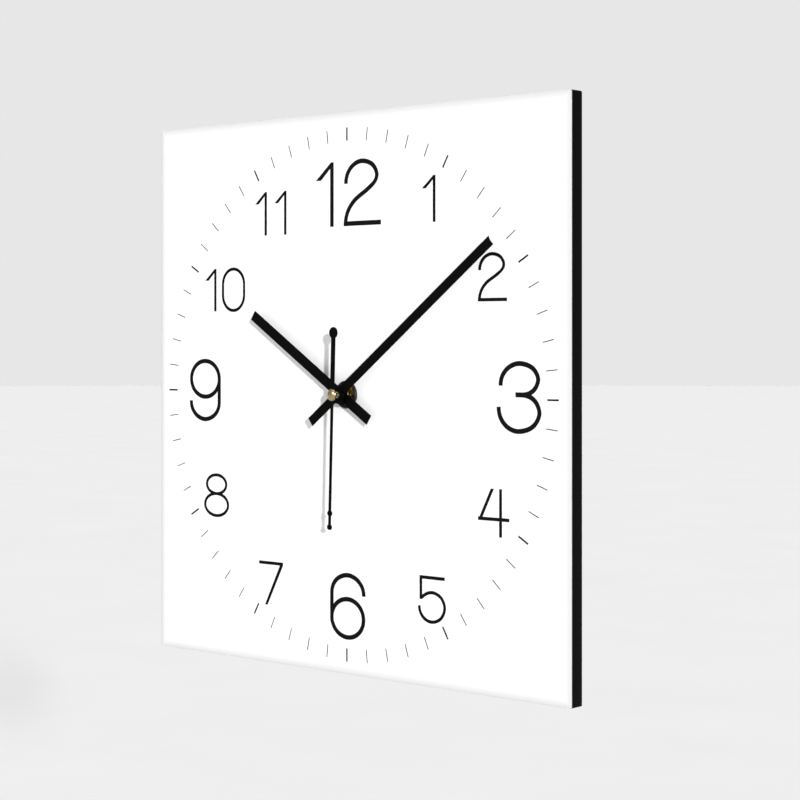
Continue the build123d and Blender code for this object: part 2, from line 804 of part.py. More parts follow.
flange_back = case_inner_front - bushing_flange_thickness
threaded_bushing = tube(bushing_radius, bushing_bore, flange_back, bushing_front)
threaded_bushing += tube(bushing_radius + bushing_flange_rim, bushing_bore, flange_back, case_inner_front)
nodes["threaded_bushing"] = threaded_bushing
nodes["dial_washer"] = tube(bushing_radius + dial_washer_rim, bushing_seat, face_front, washer_front)
brass_washer_radius = bushing_radius + brass_washer_rim
nodes["brass_washer"] = tube(brass_washer_radius, bushing_seat, washer_front, brass_washer_front)
nut_flat = bushing_radius + nut_rim
nut_corner = 2 * nut_flat / sqrt(3)
nut_outline = RegularPolygon(nut_flat, 6, major_radius=False) - Circle(bushing_seat)
nut_blank = plate(nut_outline, brass_washer_front, nut_thickness)
nut_cone = Cone(
    nut_corner + nut_thickness * nut_corner_slope,
    nut_corner - nut_corner_cut,
    nut_thickness,
    align=(Align.CENTER, Align.CENTER, Align.MIN),
)
nodes["dial_nut"] = nut_blank & Pos(0, 0, brass_washer_front) * nut_cone
nodes["board_gasket"] = tube(bushing_radius + gasket_rim, bushing_seat, hanger_front, board_back)

# ------------------------------------------------------------------ hanger and spacers

shelf_low = case_top + hanger_gap
shelf_high = shelf_low + hanger_thickness
hanger_eye_height = case_top + hanger_eye_rise
hanger_top = hanger_eye_height + hanger_width / 2
hanger_profile = Polyline(
    (case_depth, hanger_bottom),
    (hanger_front, hanger_bottom),
    (hanger_front, shelf_high),
    (hanger_thickness, shelf_high),
    (hanger_thickness, hanger_top),
    (0, hanger_top),
    (0, shelf_low),
    (case_depth, shelf_low),
    close=True,
)
hanger_face = make_face(hanger_profile)
front_bend = hanger_face.vertices().sort_by_distance((hanger_front, shelf_high))[0]
back_bend = hanger_face.vertices().sort_by_distance((0, shelf_low))[0]
hanger_face = fillet([front_bend, back_bend], hanger_bend_radius)
side_plane = Plane((0, 0, 0), x_dir=(0, 0, 1), z_dir=(-1, 0, 0))
hanger_sheet = extrude(side_plane * hanger_face, hanger_width / 2, both=True)
hanger_height = hanger_top - hanger_bottom
hanger_outline = RectangleRounded(hanger_width, hanger_height, hanger_width / 2 - hanger_corner_flat)
hanger_middle = (hanger_top + hanger_bottom) / 2
hanger_plate = hanger_sheet & extrude(Pos(0, hanger_middle) * hanger_outline, hanger_front)
hanger_plate -= rod(bushing_seat, case_depth, hanger_front)
hanger_plate -= rod(hanger_eye_radius, 0, hanger_thickness, (0, hanger_eye_height))
nodes["hanger_plate"] = hanger_plate

spacer = Cone(
    spacer_tip_diameter / 2,
    spacer_base_diameter / 2,
    board_back,
    align=(Align.CENTER, Align.CENTER, Align.MIN),
)
spacer_x = clock_width / 2 - spacer_inset
spacer_y = face_rise + spacer_inset - clock_height / 2
nodes["wall_spacer_left"] = Pos(-spacer_x, spacer_y, 0) * spacer
nodes["wall_spacer_right"] = Pos(spacer_x, spacer_y, 0) * spacer

# ---------------------------------------------------------------------- battery

nub_tip = contact_inner - contact_touch_gap
cell_right = nub_tip - cell_nub_length
cell_left = cell_right - cell_body_length


def cell_bar(radius, left, right):
    """Round bar along X on the battery's axis."""
    bar = Cylinder(radius, right - left, rotation=(0, 90, 0))
    return Pos((left + right) / 2, cell_y, cell_z) * bar


cell_body = cell_bar(cell_diameter / 2, cell_left, cell_right)
nodes["battery_cell"] = chamfer(cell_body.edges(), cell_edge)
nodes["battery_nub"] = cell_bar(cell_nub_diameter / 2, cell_right, nub_tip)


def ribbon(left, right, low, high):
    """Contact strip that stands along a wall of the case."""
    return block(left, right, low, high, contact_back, contact_front)


tab_back = circuit_back - contact_thickness
leaf_low = cell_y - leaf_half
leaf_high = cell_y + leaf_half
leaf_root = -contact_inner - weld
leaf_touch = cell_left - contact_touch_gap
leaf_step = leaf_slant * contact_thickness
leaf = Polyline(
    (leaf_root, leaf_low),
    (leaf_touch, cell_y),
    (leaf_root, leaf_high),
    (leaf_root, leaf_high - leaf_step),
    (leaf_touch - contact_thickness, cell_y),
    (leaf_root, leaf_low + leaf_step),
    close=True,
)
left_tab_low = circuit_low + tab_inset
left_tab_high = left_tab_low + tab_width
negative_contact = ribbon(-contact_outer, -contact_inner, leaf_low, left_tab_high)
left_tab_right = circuit_left + tab_width
negative_contact += block(leaf_root, left_tab_right, left_tab_low, left_tab_high, tab_back, circuit_back)
negative_contact += plate(make_face(leaf), contact_back, contact_width)
nodes["negative_contact"] = negative_contact

tab_right = circuit_right - tab_edge
tab_left = tab_right - tab_width
positive_contact = ribbon(contact_inner, contact_outer, leaf_low, contact_high)
positive_contact += ribbon(tab_left, contact_outer, contact_low, contact_high)
tab_low = circuit_high - tab_length
positive_contact += block(tab_left, tab_right, tab_low, circuit_high + weld, tab_back, circuit_back)
nodes["positive_contact"] = positive_contact

# ---------------------------------------------------------- circuit board and motor

nodes["circuit_board"] = block(
    circuit_left, circuit_right, circuit_low, circuit_high, circuit_back, circuit_front
)
crystal = Cylinder(crystal_diameter / 2, crystal_length, rotation=(0, 90, 0))
crystal_place = (circuit_right - crystal_inset, circuit_low + crystal_height)
nodes["quartz_crystal"] = Pos(*crystal_place, circuit_back - crystal_diameter / 2) * crystal
chip_place = (circuit_left + chip_inset, circuit_low + circuit_height / 2)
chip_back = circuit_back - chip_height
chip_radius = ((chip_diameter / 2) ** 2 + chip_height**2) / (2 * chip_height)
chip_ball = Pos(*chip_place, chip_back + chip_radius) * Sphere(chip_radius)
nodes["chip_cover"] = chip_ball & rod(chip_diameter / 2, chip_back, circuit_back, chip_place)

lower_arm_left = setting_axis[0] + setting_arbor_radius + arbor_room
neck_low = rotor_axis[1] - stator_half
neck_right = rotor_axis[0] + stator_half
stator_points = (
    (stator_left, upper_arm_high),
    (stator_left, neck_low),
    (lower_arm_left, neck_low),
    (lower_arm_left, lower_arm_low),
    (stator_right, lower_arm_low),
    (stator_right, lower_arm_high),
    (neck_right, lower_arm_high),
    (neck_right, upper_arm_low),
    (stator_right, upper_arm_low),
    (stator_right, upper_arm_high),
)
stator = plate(make_face(Polyline(*stator_points, close=True)), stator_back, stator_thickness)
nodes["stator"] = stator - rod(stator_hole_diameter / 2, stator_back, stator_front, rotor_axis)

core_back = stator_back - stator_thickness
core_half = coil_core_width / 2
core_left = coil_x - core_half
core_right = coil_x + core_half
nodes["coil_core"] = block(core_left, core_right, lower_arm_low, upper_arm_high, core_back, stator_back)
coil_z = core_back + stator_thickness / 2
coil_low = rotor_axis[1] - coil_length / 2
coil_high = coil_low + coil_length


def coil_box(half_width, half_depth, low, high):
    """Box around the coil's axis."""
    left = coil_x - half_width
    back = coil_z - half_depth
    return block(left, left + 2 * half_width, low, high, back, back + 2 * half_depth)


bobbin_inner = (core_half + running_gap, stator_thickness / 2 + running_gap)
bobbin_outer = (bobbin_inner[0] + bobbin_wall, bobbin_inner[1] + bobbin_wall)
flange_half = coil_flange_size / 2
winding_half = coil_winding_size / 2
winding_low = coil_low + coil_flange_thickness
winding_high = coil_high - coil_flange_thickness
coil_bobbin = coil_box(*bobbin_outer, coil_low, coil_high)
coil_bobbin += coil_box(flange_half, flange_half, coil_low, winding_low)
coil_bobbin += coil_box(flange_half, flange_half, winding_high, coil_high)
coil_bobbin -= coil_box(*bobbin_inner, coil_low, coil_high)
nodes["coil_bobbin"] = coil_bobbin
winding = coil_box(winding_half, winding_half, winding_low, winding_high)
winding = fillet(winding.edges().filter_by(Axis.Y), winding_corner)
nodes["coil_winding"] = winding - coil_box(*bobbin_outer, winding_low, winding_high)

# ------------------------------------------------------------ going train and rotor

no_turn = 0.0
intermediate_pinion_phase = meshing_phase(
    second_wheel_teeth, no_turn, intermediate_pinion_teeth, intermediate_bearing
)
rotor_phase = meshing_phase(intermediate_teeth, no_turn, rotor_teeth, rotor_bearing)
third_wheel_phase = meshing_phase(second_pinion_teeth, no_turn, third_wheel_teeth, third_bearing)
centre_wheel_phase = meshing_phase(third_pinion_teeth, no_turn, centre_wheel_teeth, third_bearing + 180)
minute_wheel_phase = meshing_phase(cannon_teeth, no_turn, minute_wheel_teeth, setting_bearing)
hour_wheel_phase = meshing_phase(minute_pinion_teeth, no_turn, hour_wheel_teeth, setting_bearing + 180)
pivot_start = pivot_seat + pivot_clearance
pivot_end = train_plate_front - end_float
wheel_reach = wheel_thickness + pinion_margin


def train_arbor(centre, wheel_back):
    """Arbor with a thin pivot at each end, from the cover to the train plate."""
    arbor = rod(train_arbor_radius, wheel_back - arbor_shoulder, train_plate_back - end_float, centre)
    return arbor + rod(pivot_radius, pivot_start, pivot_end, centre)


# Rotor: magnet and pinion
rotor_pinion_back = intermediate_wheel_back - arbor_shoulder
rotor_pinion_front = intermediate_wheel_back + wheel_reach
rotor_arbor = train_arbor(rotor_axis, intermediate_wheel_back)
rotor_arbor += pinion(
    rotor_teeth, rotor_module, rotor_phase, rotor_pinion_back, rotor_pinion_front, rotor_axis
)
nodes["rotor_pinion"] = rotor_arbor
magnet_back = (stator_back + stator_front - magnet_length) / 2
magnet_front = magnet_back + magnet_length
nodes["rotor_magnet"] = tube(magnet_diameter / 2, train_arbor_radius, magnet_back, magnet_front, rotor_axis)

# Intermediate wheel and pinion
nodes["intermediate_wheel"] = wheel(
    intermediate_teeth,
    rotor_module,
    no_turn,
    train_arbor_radius,
    intermediate_wheel_back,
    intermediate_axis,
    4,
)
intermediate_arbor = train_arbor(intermediate_axis, intermediate_wheel_back)
intermediate_arbor += pinion(
    intermediate_pinion_teeth,
    intermediate_module,
    intermediate_pinion_phase,
    second_wheel_back - pinion_margin,
    second_wheel_back + wheel_reach,
    intermediate_axis,
)
nodes["intermediate_pinion"] = intermediate_arbor

# Seconds wheel, its pinion and its long arbor
second_pinion_back = third_wheel_back - pinion_margin
second_pinion_front = third_wheel_back + wheel_reach
nodes["second_wheel"] = wheel(
    second_wheel_teeth, intermediate_module, no_turn, second_arbor_radius, second_wheel_back, hands_axis, 6
)
second_arbor = rod(second_arbor_radius, second_wheel_back - arbor_shoulder, second_hand_front)
second_arbor += rod(pivot_radius, pivot_start, second_wheel_back)
second_arbor += pinion(
    second_pinion_teeth, third_module, no_turn, second_pinion_back, second_pinion_front, hands_axis
)
nodes["second_arbor"] = second_arbor

# Third wheel and pinion
nodes["third_wheel"] = wheel(
    third_wheel_teeth, third_module, third_wheel_phase, train_arbor_radius, third_wheel_back, third_axis, 6
)
third_pinion_back = centre_wheel_back - pinion_margin
third_pinion_front = train_plate_back - arbor_shoulder
third_arbor = train_arbor(third_axis, second_wheel_back)
third_arbor += pinion(
    third_pinion_teeth, centre_module, no_turn, third_pinion_back, third_pinion_front, third_axis
)
nodes["third_pinion"] = third_arbor

# Centre wheel, which runs loose on the minute arbor and drives it through the clutch
nodes["centre_wheel"] = wheel(
    centre_wheel_teeth, centre_module, centre_wheel_phase, hour_bore, centre_wheel_back, hands_axis, 5
)

# ------------------------------------------------------------------- motion work

collar_back = second_pinion_front + free_gap
collar_front = collar_back + collar_thickness
cannon_back = train_plate_front + cannon_float
cannon_front = minute_wheel_back + wheel_thickness + cannon_margin
minute_arbor = tube(minute_arbor_radius, second_bore, collar_back, minute_hand_front + pipe_end)
minute_arbor += tube(minute_arbor_radius + collar_rim, second_bore, collar_back, collar_front)
minute_arbor += pinion(
    cannon_teeth, cannon_module, no_turn, cannon_back, cannon_front, hands_axis, second_bore
)
nodes["minute_arbor"] = minute_arbor

spring_outline = Circle(minute_arbor_radius + spring_hub_rim)
spring_outline += PolarLocations(spring_reach / 2, 3) * Rectangle(spring_reach, spring_arm_width)
clutch_spring = plate(spring_outline - Circle(minute_arbor_radius), collar_front, spring_thickness)
pad_height = centre_wheel_back - running_gap - collar_front
for pad in PolarLocations(spring_reach - spring_pad, 3):
    clutch_spring += plate(pad * Circle(spring_pad), collar_front, pad_height)
nodes["clutch_spring"] = clutch_spring

hour_wheel = wheel(
    hour_wheel_teeth, hour_module, hour_wheel_phase, hour_bore, hour_wheel_back, hands_axis, 5
)
hour_pipe_back = cannon_front + free_gap
hour_wheel += tube(hour_pipe_radius, hour_bore, hour_pipe_back, hour_hand_front + pipe_end)
nodes["hour_wheel"] = hour_wheel

# Minute wheel and its pinion on the setting arbor, with the knob at the back
setting_pinion_back = minute_wheel_back + wheel_thickness
setting_pinion_front = hour_wheel_back + wheel_reach
minute_wheel = wheel(
    minute_wheel_teeth,
    cannon_module,
    minute_wheel_phase,
    setting_arbor_radius,
    minute_wheel_back,
    setting_axis,
    5,
)
minute_wheel += pinion(
    minute_pinion_teeth,
    hour_module,
    no_turn,
    setting_pinion_back,
    setting_pinion_front,
    setting_axis,
    setting_arbor_radius,
)
nodes["minute_wheel"] = minute_wheel
knob_front = knob_recess + knob_thickness
knob_seat = knob_front + knob_web
knob_hub_front = knob_front + knob_hub_length
setting_arbor = rod(setting_arbor_radius, knob_seat, setting_pinion_front, setting_axis)
setting_arbor += rod(front_pivot_radius, setting_pinion_front, front_pivot_end, setting_axis)
nodes["setting_arbor"] = setting_arbor
knob_outline = Circle(knob_diameter / 2)
knob_outline -= PolarLocations(knob_diameter / 2, knob_grip_count) * Circle(knob_grip_radius)
slot_side = knob_slot_length / 2
slot_half = knob_slot_width / 2
knob = plate(knob_outline, knob_recess, knob_thickness)
knob += rod(setting_arbor_radius + knob_hub_wall, knob_front, knob_hub_front)
knob -= rod(setting_arbor_radius, knob_seat, knob_hub_front)
knob -= block(-slot_side, slot_side, -slot_half, slot_half, 0, knob_recess + knob_slot_depth)
nodes["setting_knob"] = Pos(*setting_axis, 0) * knob

# ------------------------------------------------------------------------ hands


def baton(length, tail, width, hub_diameter, bore, tip_hollow=0.0):
    """Straight hand that points up, with a round hub and square-cut ends."""
    outline = Pos(0, (length - tail) / 2) * Rectangle(width, length + tail)
    if tip_hollow:
        half = width / 2
        hollow_radius = (half**2 + tip_hollow**2) / (2 * tip_hollow)
        outline -= Pos(0, length - tip_hollow + hollow_radius) * Circle(hollow_radius)
    return outline + Circle(hub_diameter / 2) - Circle(bore)


def hand(outline, back, angle):
    """Hand stamped from sheet and turned clockwise from twelve by the angle."""
    blank = plate(outline, back, hand_thickness)
    front = blank.faces().sort_by(Axis.Z)[-1]
    return Rot(0, 0, -angle) * chamfer(front.outer_wire().edges(), hand_edge)


nodes["hour_hand"] = hand(
    baton(hour_hand_length, hour_hand_tail, hour_hand_width, hour_hub_diameter, hour_pipe_radius),
    hour_hand_back,
    hour_hand_angle,
)
nodes["minute_hand"] = hand(
    baton(
        minute_hand_length,
        minute_hand_tail,
        minute_hand_width,
        minute_hub_diameter,
        minute_arbor_radius,
        minute_tip_hollow,
    ),
    minute_hand_back,
    minute_hand_angle,
)
minute_collet_back = hour_hand_front + pipe_end + free_gap
nodes["minute_hand_collet"] = tube(
    minute_arbor_radius + hand_collet_wall, minute_arbor_radius, minute_collet_back, minute_hand_back
)

blade_end = second_hand_length - cross_bar_width / 2
blade = make_face(
    Polyline(
        (-second_blade_width / 2, 0),
        (-second_tip_width / 2, blade_end),
        (second_tip_width / 2, blade_end),
        (second_blade_width / 2, 0),
        close=True,
    )
)
second_outline = blade + Circle(second_hub_diameter / 2)
second_outline += Pos(0, -second_hand_tail / 2) * Rectangle(second_tail_width, second_hand_tail)
second_outline += Pos(0, -second_hand_tail) * Circle(counterweight_diameter / 2)
for place in (cross_bar_place, blade_end):
    second_outline += Pos(0, place) * SlotOverall(cross_bar_length, cross_bar_width)
nodes["second_hand"] = hand(second_outline - Circle(second_arbor_radius), second_hand_back, second_hand_angle)
second_collet_back = minute_hand_front + pipe_end + free_gap
nodes["second_hand_collet"] = tube(
    second_arbor_radius + second_collet_wall, second_arbor_radius, second_collet_back, second_hand_back
)

# Domed brass cap on the end of the seconds arbor
dome_height = cap_height - cap_rim
cap_radius = cap_diameter / 2
dome_radius = (cap_radius**2 + dome_height**2) / (2 * dome_height)
cap = rod(cap_radius, second_hand_front, second_hand_front + cap_height)
cap &= Pos(0, 0, second_hand_front + cap_height - dome_radius) * Sphere(dome_radius)
nodes["second_hand_cap"] = cap

# ------------------------------------------------------------------------ writing

to_row = Rot(90, 0, 0)  # Z forward becomes -Y, and Y up becomes Z
for name, shape in nodes.items():
    turned = to_row * shape
    turned.label = name
    export_step(turned, os.path.join("parts", name + ".step"))
print(len(nodes), "nodes written, depth from the wall", round(second_hand_front + cap_height, 2), "mm")
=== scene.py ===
"""Looks of a square quartz wall clock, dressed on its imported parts.

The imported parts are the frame: nothing in it is moved or reshaped. Each sub-assembly
is a class that gives its parts their finishes and adds the surfaces that turning,
rolling, threading and winding leave on the real pieces. Lengths are in metres, X runs
to the right of the dial, Y into the wall and Z up.
"""

import json
import logging
import math
from dataclasses import dataclass
from enum import Enum
from functools import cache

import bmesh
import bpy
import numpy as np
from mathutils import Matrix, Vector

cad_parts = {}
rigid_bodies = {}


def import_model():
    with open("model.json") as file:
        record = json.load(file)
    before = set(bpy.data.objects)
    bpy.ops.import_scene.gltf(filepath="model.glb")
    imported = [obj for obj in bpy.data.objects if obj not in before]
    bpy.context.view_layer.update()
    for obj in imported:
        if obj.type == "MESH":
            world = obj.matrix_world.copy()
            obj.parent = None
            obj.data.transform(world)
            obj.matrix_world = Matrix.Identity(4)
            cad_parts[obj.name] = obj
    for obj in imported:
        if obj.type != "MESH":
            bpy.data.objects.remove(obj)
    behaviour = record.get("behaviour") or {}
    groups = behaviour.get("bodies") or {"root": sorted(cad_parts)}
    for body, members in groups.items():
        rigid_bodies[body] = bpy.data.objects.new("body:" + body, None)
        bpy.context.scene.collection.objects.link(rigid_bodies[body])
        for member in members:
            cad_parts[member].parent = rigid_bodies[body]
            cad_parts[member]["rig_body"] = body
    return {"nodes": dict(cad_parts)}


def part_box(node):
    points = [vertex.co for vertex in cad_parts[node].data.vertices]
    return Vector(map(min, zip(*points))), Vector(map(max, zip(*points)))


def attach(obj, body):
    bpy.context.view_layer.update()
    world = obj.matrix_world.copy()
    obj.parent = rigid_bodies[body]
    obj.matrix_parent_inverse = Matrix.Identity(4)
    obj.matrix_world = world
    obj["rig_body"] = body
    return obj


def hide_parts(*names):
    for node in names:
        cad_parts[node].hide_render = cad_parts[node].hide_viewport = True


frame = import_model()

LOG = logging.getLogger("wall_clock")
MM = 0.001
SAME_POINT = 1e-7  # points nearer than this are merged
SLIVER = 1e-8  # edges shorter than this are dissolved

Array = np.ndarray
Colour = tuple[float, float, float]
Point = tuple[float, float, float]


# ------------------------------------------------------------------ surfaces


class Axis(Enum):
    """Direction that a turned or drawn piece lies along."""

    ACROSS = (1.0, 0.0, 0.0)
    DEEP = (0.0, 1.0, 0.0)

    def frame(self) -> tuple[Array, Array, Array]:
        """Return two directions square to the axis, and the axis itself."""
        along = np.array(self.value)
        first = np.roll(along, 1)
        return first, np.cross(along, first), along


def arc(centre: tuple[float, float], radius: float, start: float, end: float, count: int) -> Array:
    """Points on an arc: centre plus radius times (cos a, sin a), a from start to end.

    Args:
        centre: Middle of the arc.
        radius: Its radius.
        start: First angle in degrees.
        end: Last angle in degrees.
        count: Number of points.

    Returns:
        Array of count rows of two numbers.
    """
    angle = np.radians(np.linspace(start, end, count))
    return np.column_stack((centre[0] + radius * np.cos(angle), centre[1] + radius * np.sin(angle)))


def profile_of(*runs: Array | tuple[float, float]) -> Array:
    """Join single points and runs of points into one profile, in order."""
    return np.vstack([np.atleast_2d(np.asarray(run, dtype=float)) for run in runs])


def turned(profile: Array, axis: Axis, centre: Point, steps: int = 96) -> Array:
    """Grid of a profile turned about an axis.

    At turn angle a, the profile point (r, d) lies at centre + r cos a U + r sin a V + d W,
    where W is the axis and U and V are square to it.

    Args:
        profile: Rows of (r, d): distance from the axis and place along it.
        axis: The axis W.
        centre: Point on the axis where d is nought.
        steps: Number of angles round the turn.

    Returns:
        Array of shape (steps, points, 3).
    """
    first, second, along = axis.frame()
    angle = np.linspace(0, 2 * np.pi, steps, endpoint=False)
    ring = np.cos(angle)[:, None] * first + np.sin(angle)[:, None] * second
    return np.asarray(centre) + ring[:, None, :] * profile[None, :, :1] + profile[None, :, 1:] * along


def rounded_rectangle(
    half_width: float, half_height: float, corner: float, side: int, turn: int
) -> Array:
    """Points round a rectangle with round corners, anticlockwise from the lower right.

    Each corner is an arc of turn points about a centre that lies the corner radius in
    from both sides, and each side is split evenly into side steps between two arcs.

    Args:
        half_width: Half the width.
        half_height: Half the height.
        corner: Corner radius.
        side: Steps along each side.
        turn: Points on each corner.

    Returns:
        Array of 4 * (turn + side - 1) rows of two numbers.
    """
    quarter = np.radians(np.linspace(-90, 0, turn))
    signs = np.array([(1, -1), (1, 1), (-1, 1), (-1, -1)])
    centres = signs * (half_width - corner, half_height - corner)
    angles = quarter[None, :] + np.radians(90) * np.arange(4)[:, None]
    arcs = centres[:, None, :] + corner * np.stack((np.cos(angles), np.sin(angles)), axis=-1)
    share = (np.arange(1, side) / side)[None, :, None]
    sides = arcs[:, -1:, :] * (1 - share) + np.roll(arcs[:, :1, :], -1, axis=0) * share
    return np.concatenate((arcs, sides), axis=1).reshape(-1, 2)


def mesh_piece(
    name: str, grid: Array, body: str, loop: bool = False, crease: float = 35.0
) -> bpy.types.Object:
    """Make a closed piece from a grid of points and let it ride on a body.

    Corner (i, j) joins (i + 1, j), (i + 1, j + 1) and (i, j + 1), and i always runs
    round. Points that fall together, as at a pole, are merged, and faces point outwards.

    Args:
        name: Name of the piece.
        grid: Array of shape (round, along, 3).
        body: Body of the frame that the piece moves with.
        loop: Whether the second direction closes on itself too.
        crease: Angle in degrees past which an edge stays sharp.

    Returns:
        The new object, at the origin.
    """
    around, along = grid.shape[:2]
    i, j = np.meshgrid(np.arange(around), np.arange(along if loop else along - 1), indexing="ij")
    next_i, next_j = (i + 1) % around, (j + 1) % along
    quads = (i * along + j, next_i * along + j, next_i * along + next_j, i * along + next_j)
    faces = np.stack(quads, axis=-1)
    mesh = bpy.data.meshes.new(name)
    mesh.from_pydata(grid.reshape(-1, 3).tolist(), [], faces.reshape(-1, 4).tolist())
    shell = bmesh.new()
    shell.from_mesh(mesh)
    bmesh.ops.remove_doubles(shell, verts=shell.verts, dist=SAME_POINT)
    bmesh.ops.dissolve_degenerate(shell, edges=shell.edges, dist=SLIVER)
    bmesh.ops.recalc_face_normals(shell, faces=shell.faces)
    shell.to_mesh(mesh)
    shell.free()
    mesh.shade_smooth()
    mesh.set_sharp_from_angle(angle=math.radians(crease))
    piece = bpy.data.objects.new(name, mesh)
    bpy.context.scene.collection.objects.link(piece)
    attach(piece, body)
    return piece


# ------------------------------------------------------------------- shading


class Value:
    """A shader socket that holds a number, and adds Math nodes when used in an expression."""

    def __init__(self, graph: "Graph", socket: bpy.types.NodeSocket) -> None:
        """Wrap a socket of a graph."""
        self.graph = graph
        self.socket = socket

    def maths(self, operation: str, *terms: "Value | float", clamp: bool = False) -> "Value":
        """Return the result of a Math node.

        Args:
            operation: The Math node's operation.
            terms: Its inputs, in order.
            clamp: Whether the result is kept between 0 and 1.

        Returns:
            The node's output.
        """
        settings = {"operation": operation, "use_clamp": clamp}
        node = self.graph.node("ShaderNodeMath", settings, dict(enumerate(terms)))
        return Value(self.graph, node.outputs[0])

    def __add__(self, other: "Value | float") -> "Value":
        """Sum."""
        return self.maths("ADD", self, other)

    def __radd__(self, other: float) -> "Value":
        """Sum with a number on the left."""
        return self.maths("ADD", other, self)

    def __sub__(self, other: "Value | float") -> "Value":
        """Difference."""
        return self.maths("SUBTRACT", self, other)

    def __rsub__(self, other: float) -> "Value":
        """Difference from a number on the left."""
        return self.maths("SUBTRACT", other, self)

    def __mul__(self, other: "Value | float") -> "Value":
        """Product."""
        return self.maths("MULTIPLY", self, other)

    def __truediv__(self, other: "Value | float") -> "Value":
        """Quotient."""
        return self.maths("DIVIDE", self, other)

    def __pow__(self, power: float) -> "Value":
        """Power."""
        return self.maths("POWER", self, power)

    def size(self) -> "Value":
        """Size without its sign."""
        return self.maths("ABSOLUTE", self)

    def wave(self) -> "Value":
        """Sine."""
        return self.maths("SINE", self)

    def over(self, limit: "Value | float") -> "Value":
        """Give 1 where the number is greater than the limit, and 0 elsewhere."""
        return self.maths("GREATER_THAN", self, limit)

    def larger(self, other: "Value | float") -> "Value":
        """Larger of two numbers."""
        return self.maths("MAXIMUM", self, other)

    def clamped(self) -> "Value":
        """Keep the number between 0 and 1."""
        return self.maths("ADD", self, 0.0, clamp=True)


class Graph:
    """The nodes of one material, with its shader and its output in place."""

    def __init__(self, name: str) -> None:
        """Start a material of that name."""
        self.material = bpy.data.materials.new(name)
        self.material.use_nodes = True
        self.tree = self.material.node_tree
        self.tree.nodes.clear()
        self.shader = self.node("ShaderNodeBsdfPrincipled", {}, {})
        self.node("ShaderNodeOutputMaterial", {}, {"Surface": self.shader.outputs["BSDF"]})

    def node(self, kind: str, settings: dict, sockets: dict) -> bpy.types.Node:
        """Add a node, with its settings first and then its sockets.

        Args:
            kind: The node's type.
            settings: Values of its properties. "stops" fills a colour ramp.
            sockets: Values, links or wrapped numbers for its inputs, by name or number.

        Returns:
            The new node.
        """
        node = self.tree.nodes.new(kind)
        for key, value in settings.items():
            if key == "stops":
                self.fill_ramp(node.color_ramp, value)
            else:
                setattr(node, key, value)
        for key, value in sockets.items():
            self.feed(node.inputs[key], value)
        return node

    @staticmethod
    def fill_ramp(ramp: bpy.types.ColorRamp, stops: list[tuple[float, Colour]]) -> None:
        """Give a colour ramp its stops, each a place and a colour."""
        while len(ramp.elements) < len(stops):
            ramp.elements.new(1.0)
        for element, (place, colour) in zip(ramp.elements, stops):
            element.position = place
            element.color = (*colour, 1.0)

    def feed(self, socket: bpy.types.NodeSocket, value: object) -> None:
        """Set a socket to a number, a colour or a vector, or link it."""
        if isinstance(value, Value):
            self.tree.links.new(value.socket, socket)
        elif isinstance(value, bpy.types.NodeSocket):
            self.tree.links.new(value, socket)
        elif socket.type == "RGBA":
            socket.default_value = (*value, 1.0)
        else:
            socket.default_value = value

    def set_shader(self, **sockets: object) -> None:
        """Feed the shader's sockets, whose names are written with _ for a space."""
        for key, value in sockets.items():
            self.feed(self.shader.inputs[key.replace("_", " ")], value)

    def place(
        self, centre: Point = (0.0, 0.0, 0.0), stretch: Point = (1.0, 1.0, 1.0)
    ) -> bpy.types.NodeSocket:
        """Object coordinates from a centre, stretched along each axis.

        Args:
            centre: Point that becomes nought.
            stretch: Factors by which the pattern is packed along X, Y and Z.

        Returns:
            The vector socket.
        """
        origin = self.node("ShaderNodeTexCoord", {}, {}).outputs["Object"]
        moved = self.node("ShaderNodeVectorMath", {"operation": "SUBTRACT"}, {0: origin, 1: centre})
        spread = {0: moved.outputs[0], 1: stretch}
        sized = self.node("ShaderNodeVectorMath", {"operation": "MULTIPLY"}, spread)
        return sized.outputs[0]

    def parts(self, vector: bpy.types.NodeSocket) -> tuple[Value, Value, Value]:
        """Split a vector into its three numbers."""
        node = self.node("ShaderNodeSeparateXYZ", {}, {0: vector})
        return tuple(Value(self, node.outputs[axis]) for axis in range(3))

    def mottle(self, vector: bpy.types.NodeSocket, grain: float, detail: float = 3.0) -> Value:
        """Noise between 0 and 1 whose blotches are about one grain wide.

        Args:
            vector: Coordinates in metres.
            grain: Width of a blotch in metres.
            detail: Octaves of the noise.

        Returns:
            The noise.
        """
        sockets = {"Vector": vector, "Scale": 1.0 / grain, "Detail": detail}
        node = self.node("ShaderNodeTexNoise", {}, sockets)
        return Value(self, node.outputs["Fac"])

    def cells(self, vector: bpy.types.NodeSocket, grain: float) -> Value:
        """Distance to the nearest of many scattered points, about one grain apart."""
        node = self.node("ShaderNodeTexVoronoi", {}, {"Vector": vector, "Scale": 1.0 / grain})
        return Value(self, node.outputs["Distance"])

    def blend(self, amount: Value, low: object, high: object) -> bpy.types.NodeSocket:
        """Colour between two colours.

        Args:
            amount: 0 gives the first and 1 the second.
            low: First colour or colour socket.
            high: Second colour or colour socket.

        Returns:
            The mixed colour's socket.
        """
        settings = {"data_type": "RGBA", "clamp_factor": True}
        return self.node("ShaderNodeMix", settings, {0: amount, 6: low, 7: high}).outputs[2]

    def relief(self, height: Value, depth: float, strength: float = 1.0) -> bpy.types.NodeSocket:
        """Normal of a surface whose height varies.

        Args:
            height: Height between 0 and 1.
            depth: What a height of 1 stands for, in metres.
            strength: How strongly the relief shows.

        Returns:
            The normal's socket.
        """
        sockets = {"Height": height, "Distance": depth, "Strength": strength}
        return self.node("ShaderNodeBump", {}, sockets).outputs["Normal"]


def shade(colour: Colour, factor: float) -> Colour:
    """Return a colour made darker or lighter by a factor."""
    return tuple(min(1.0, channel * factor) for channel in colour)


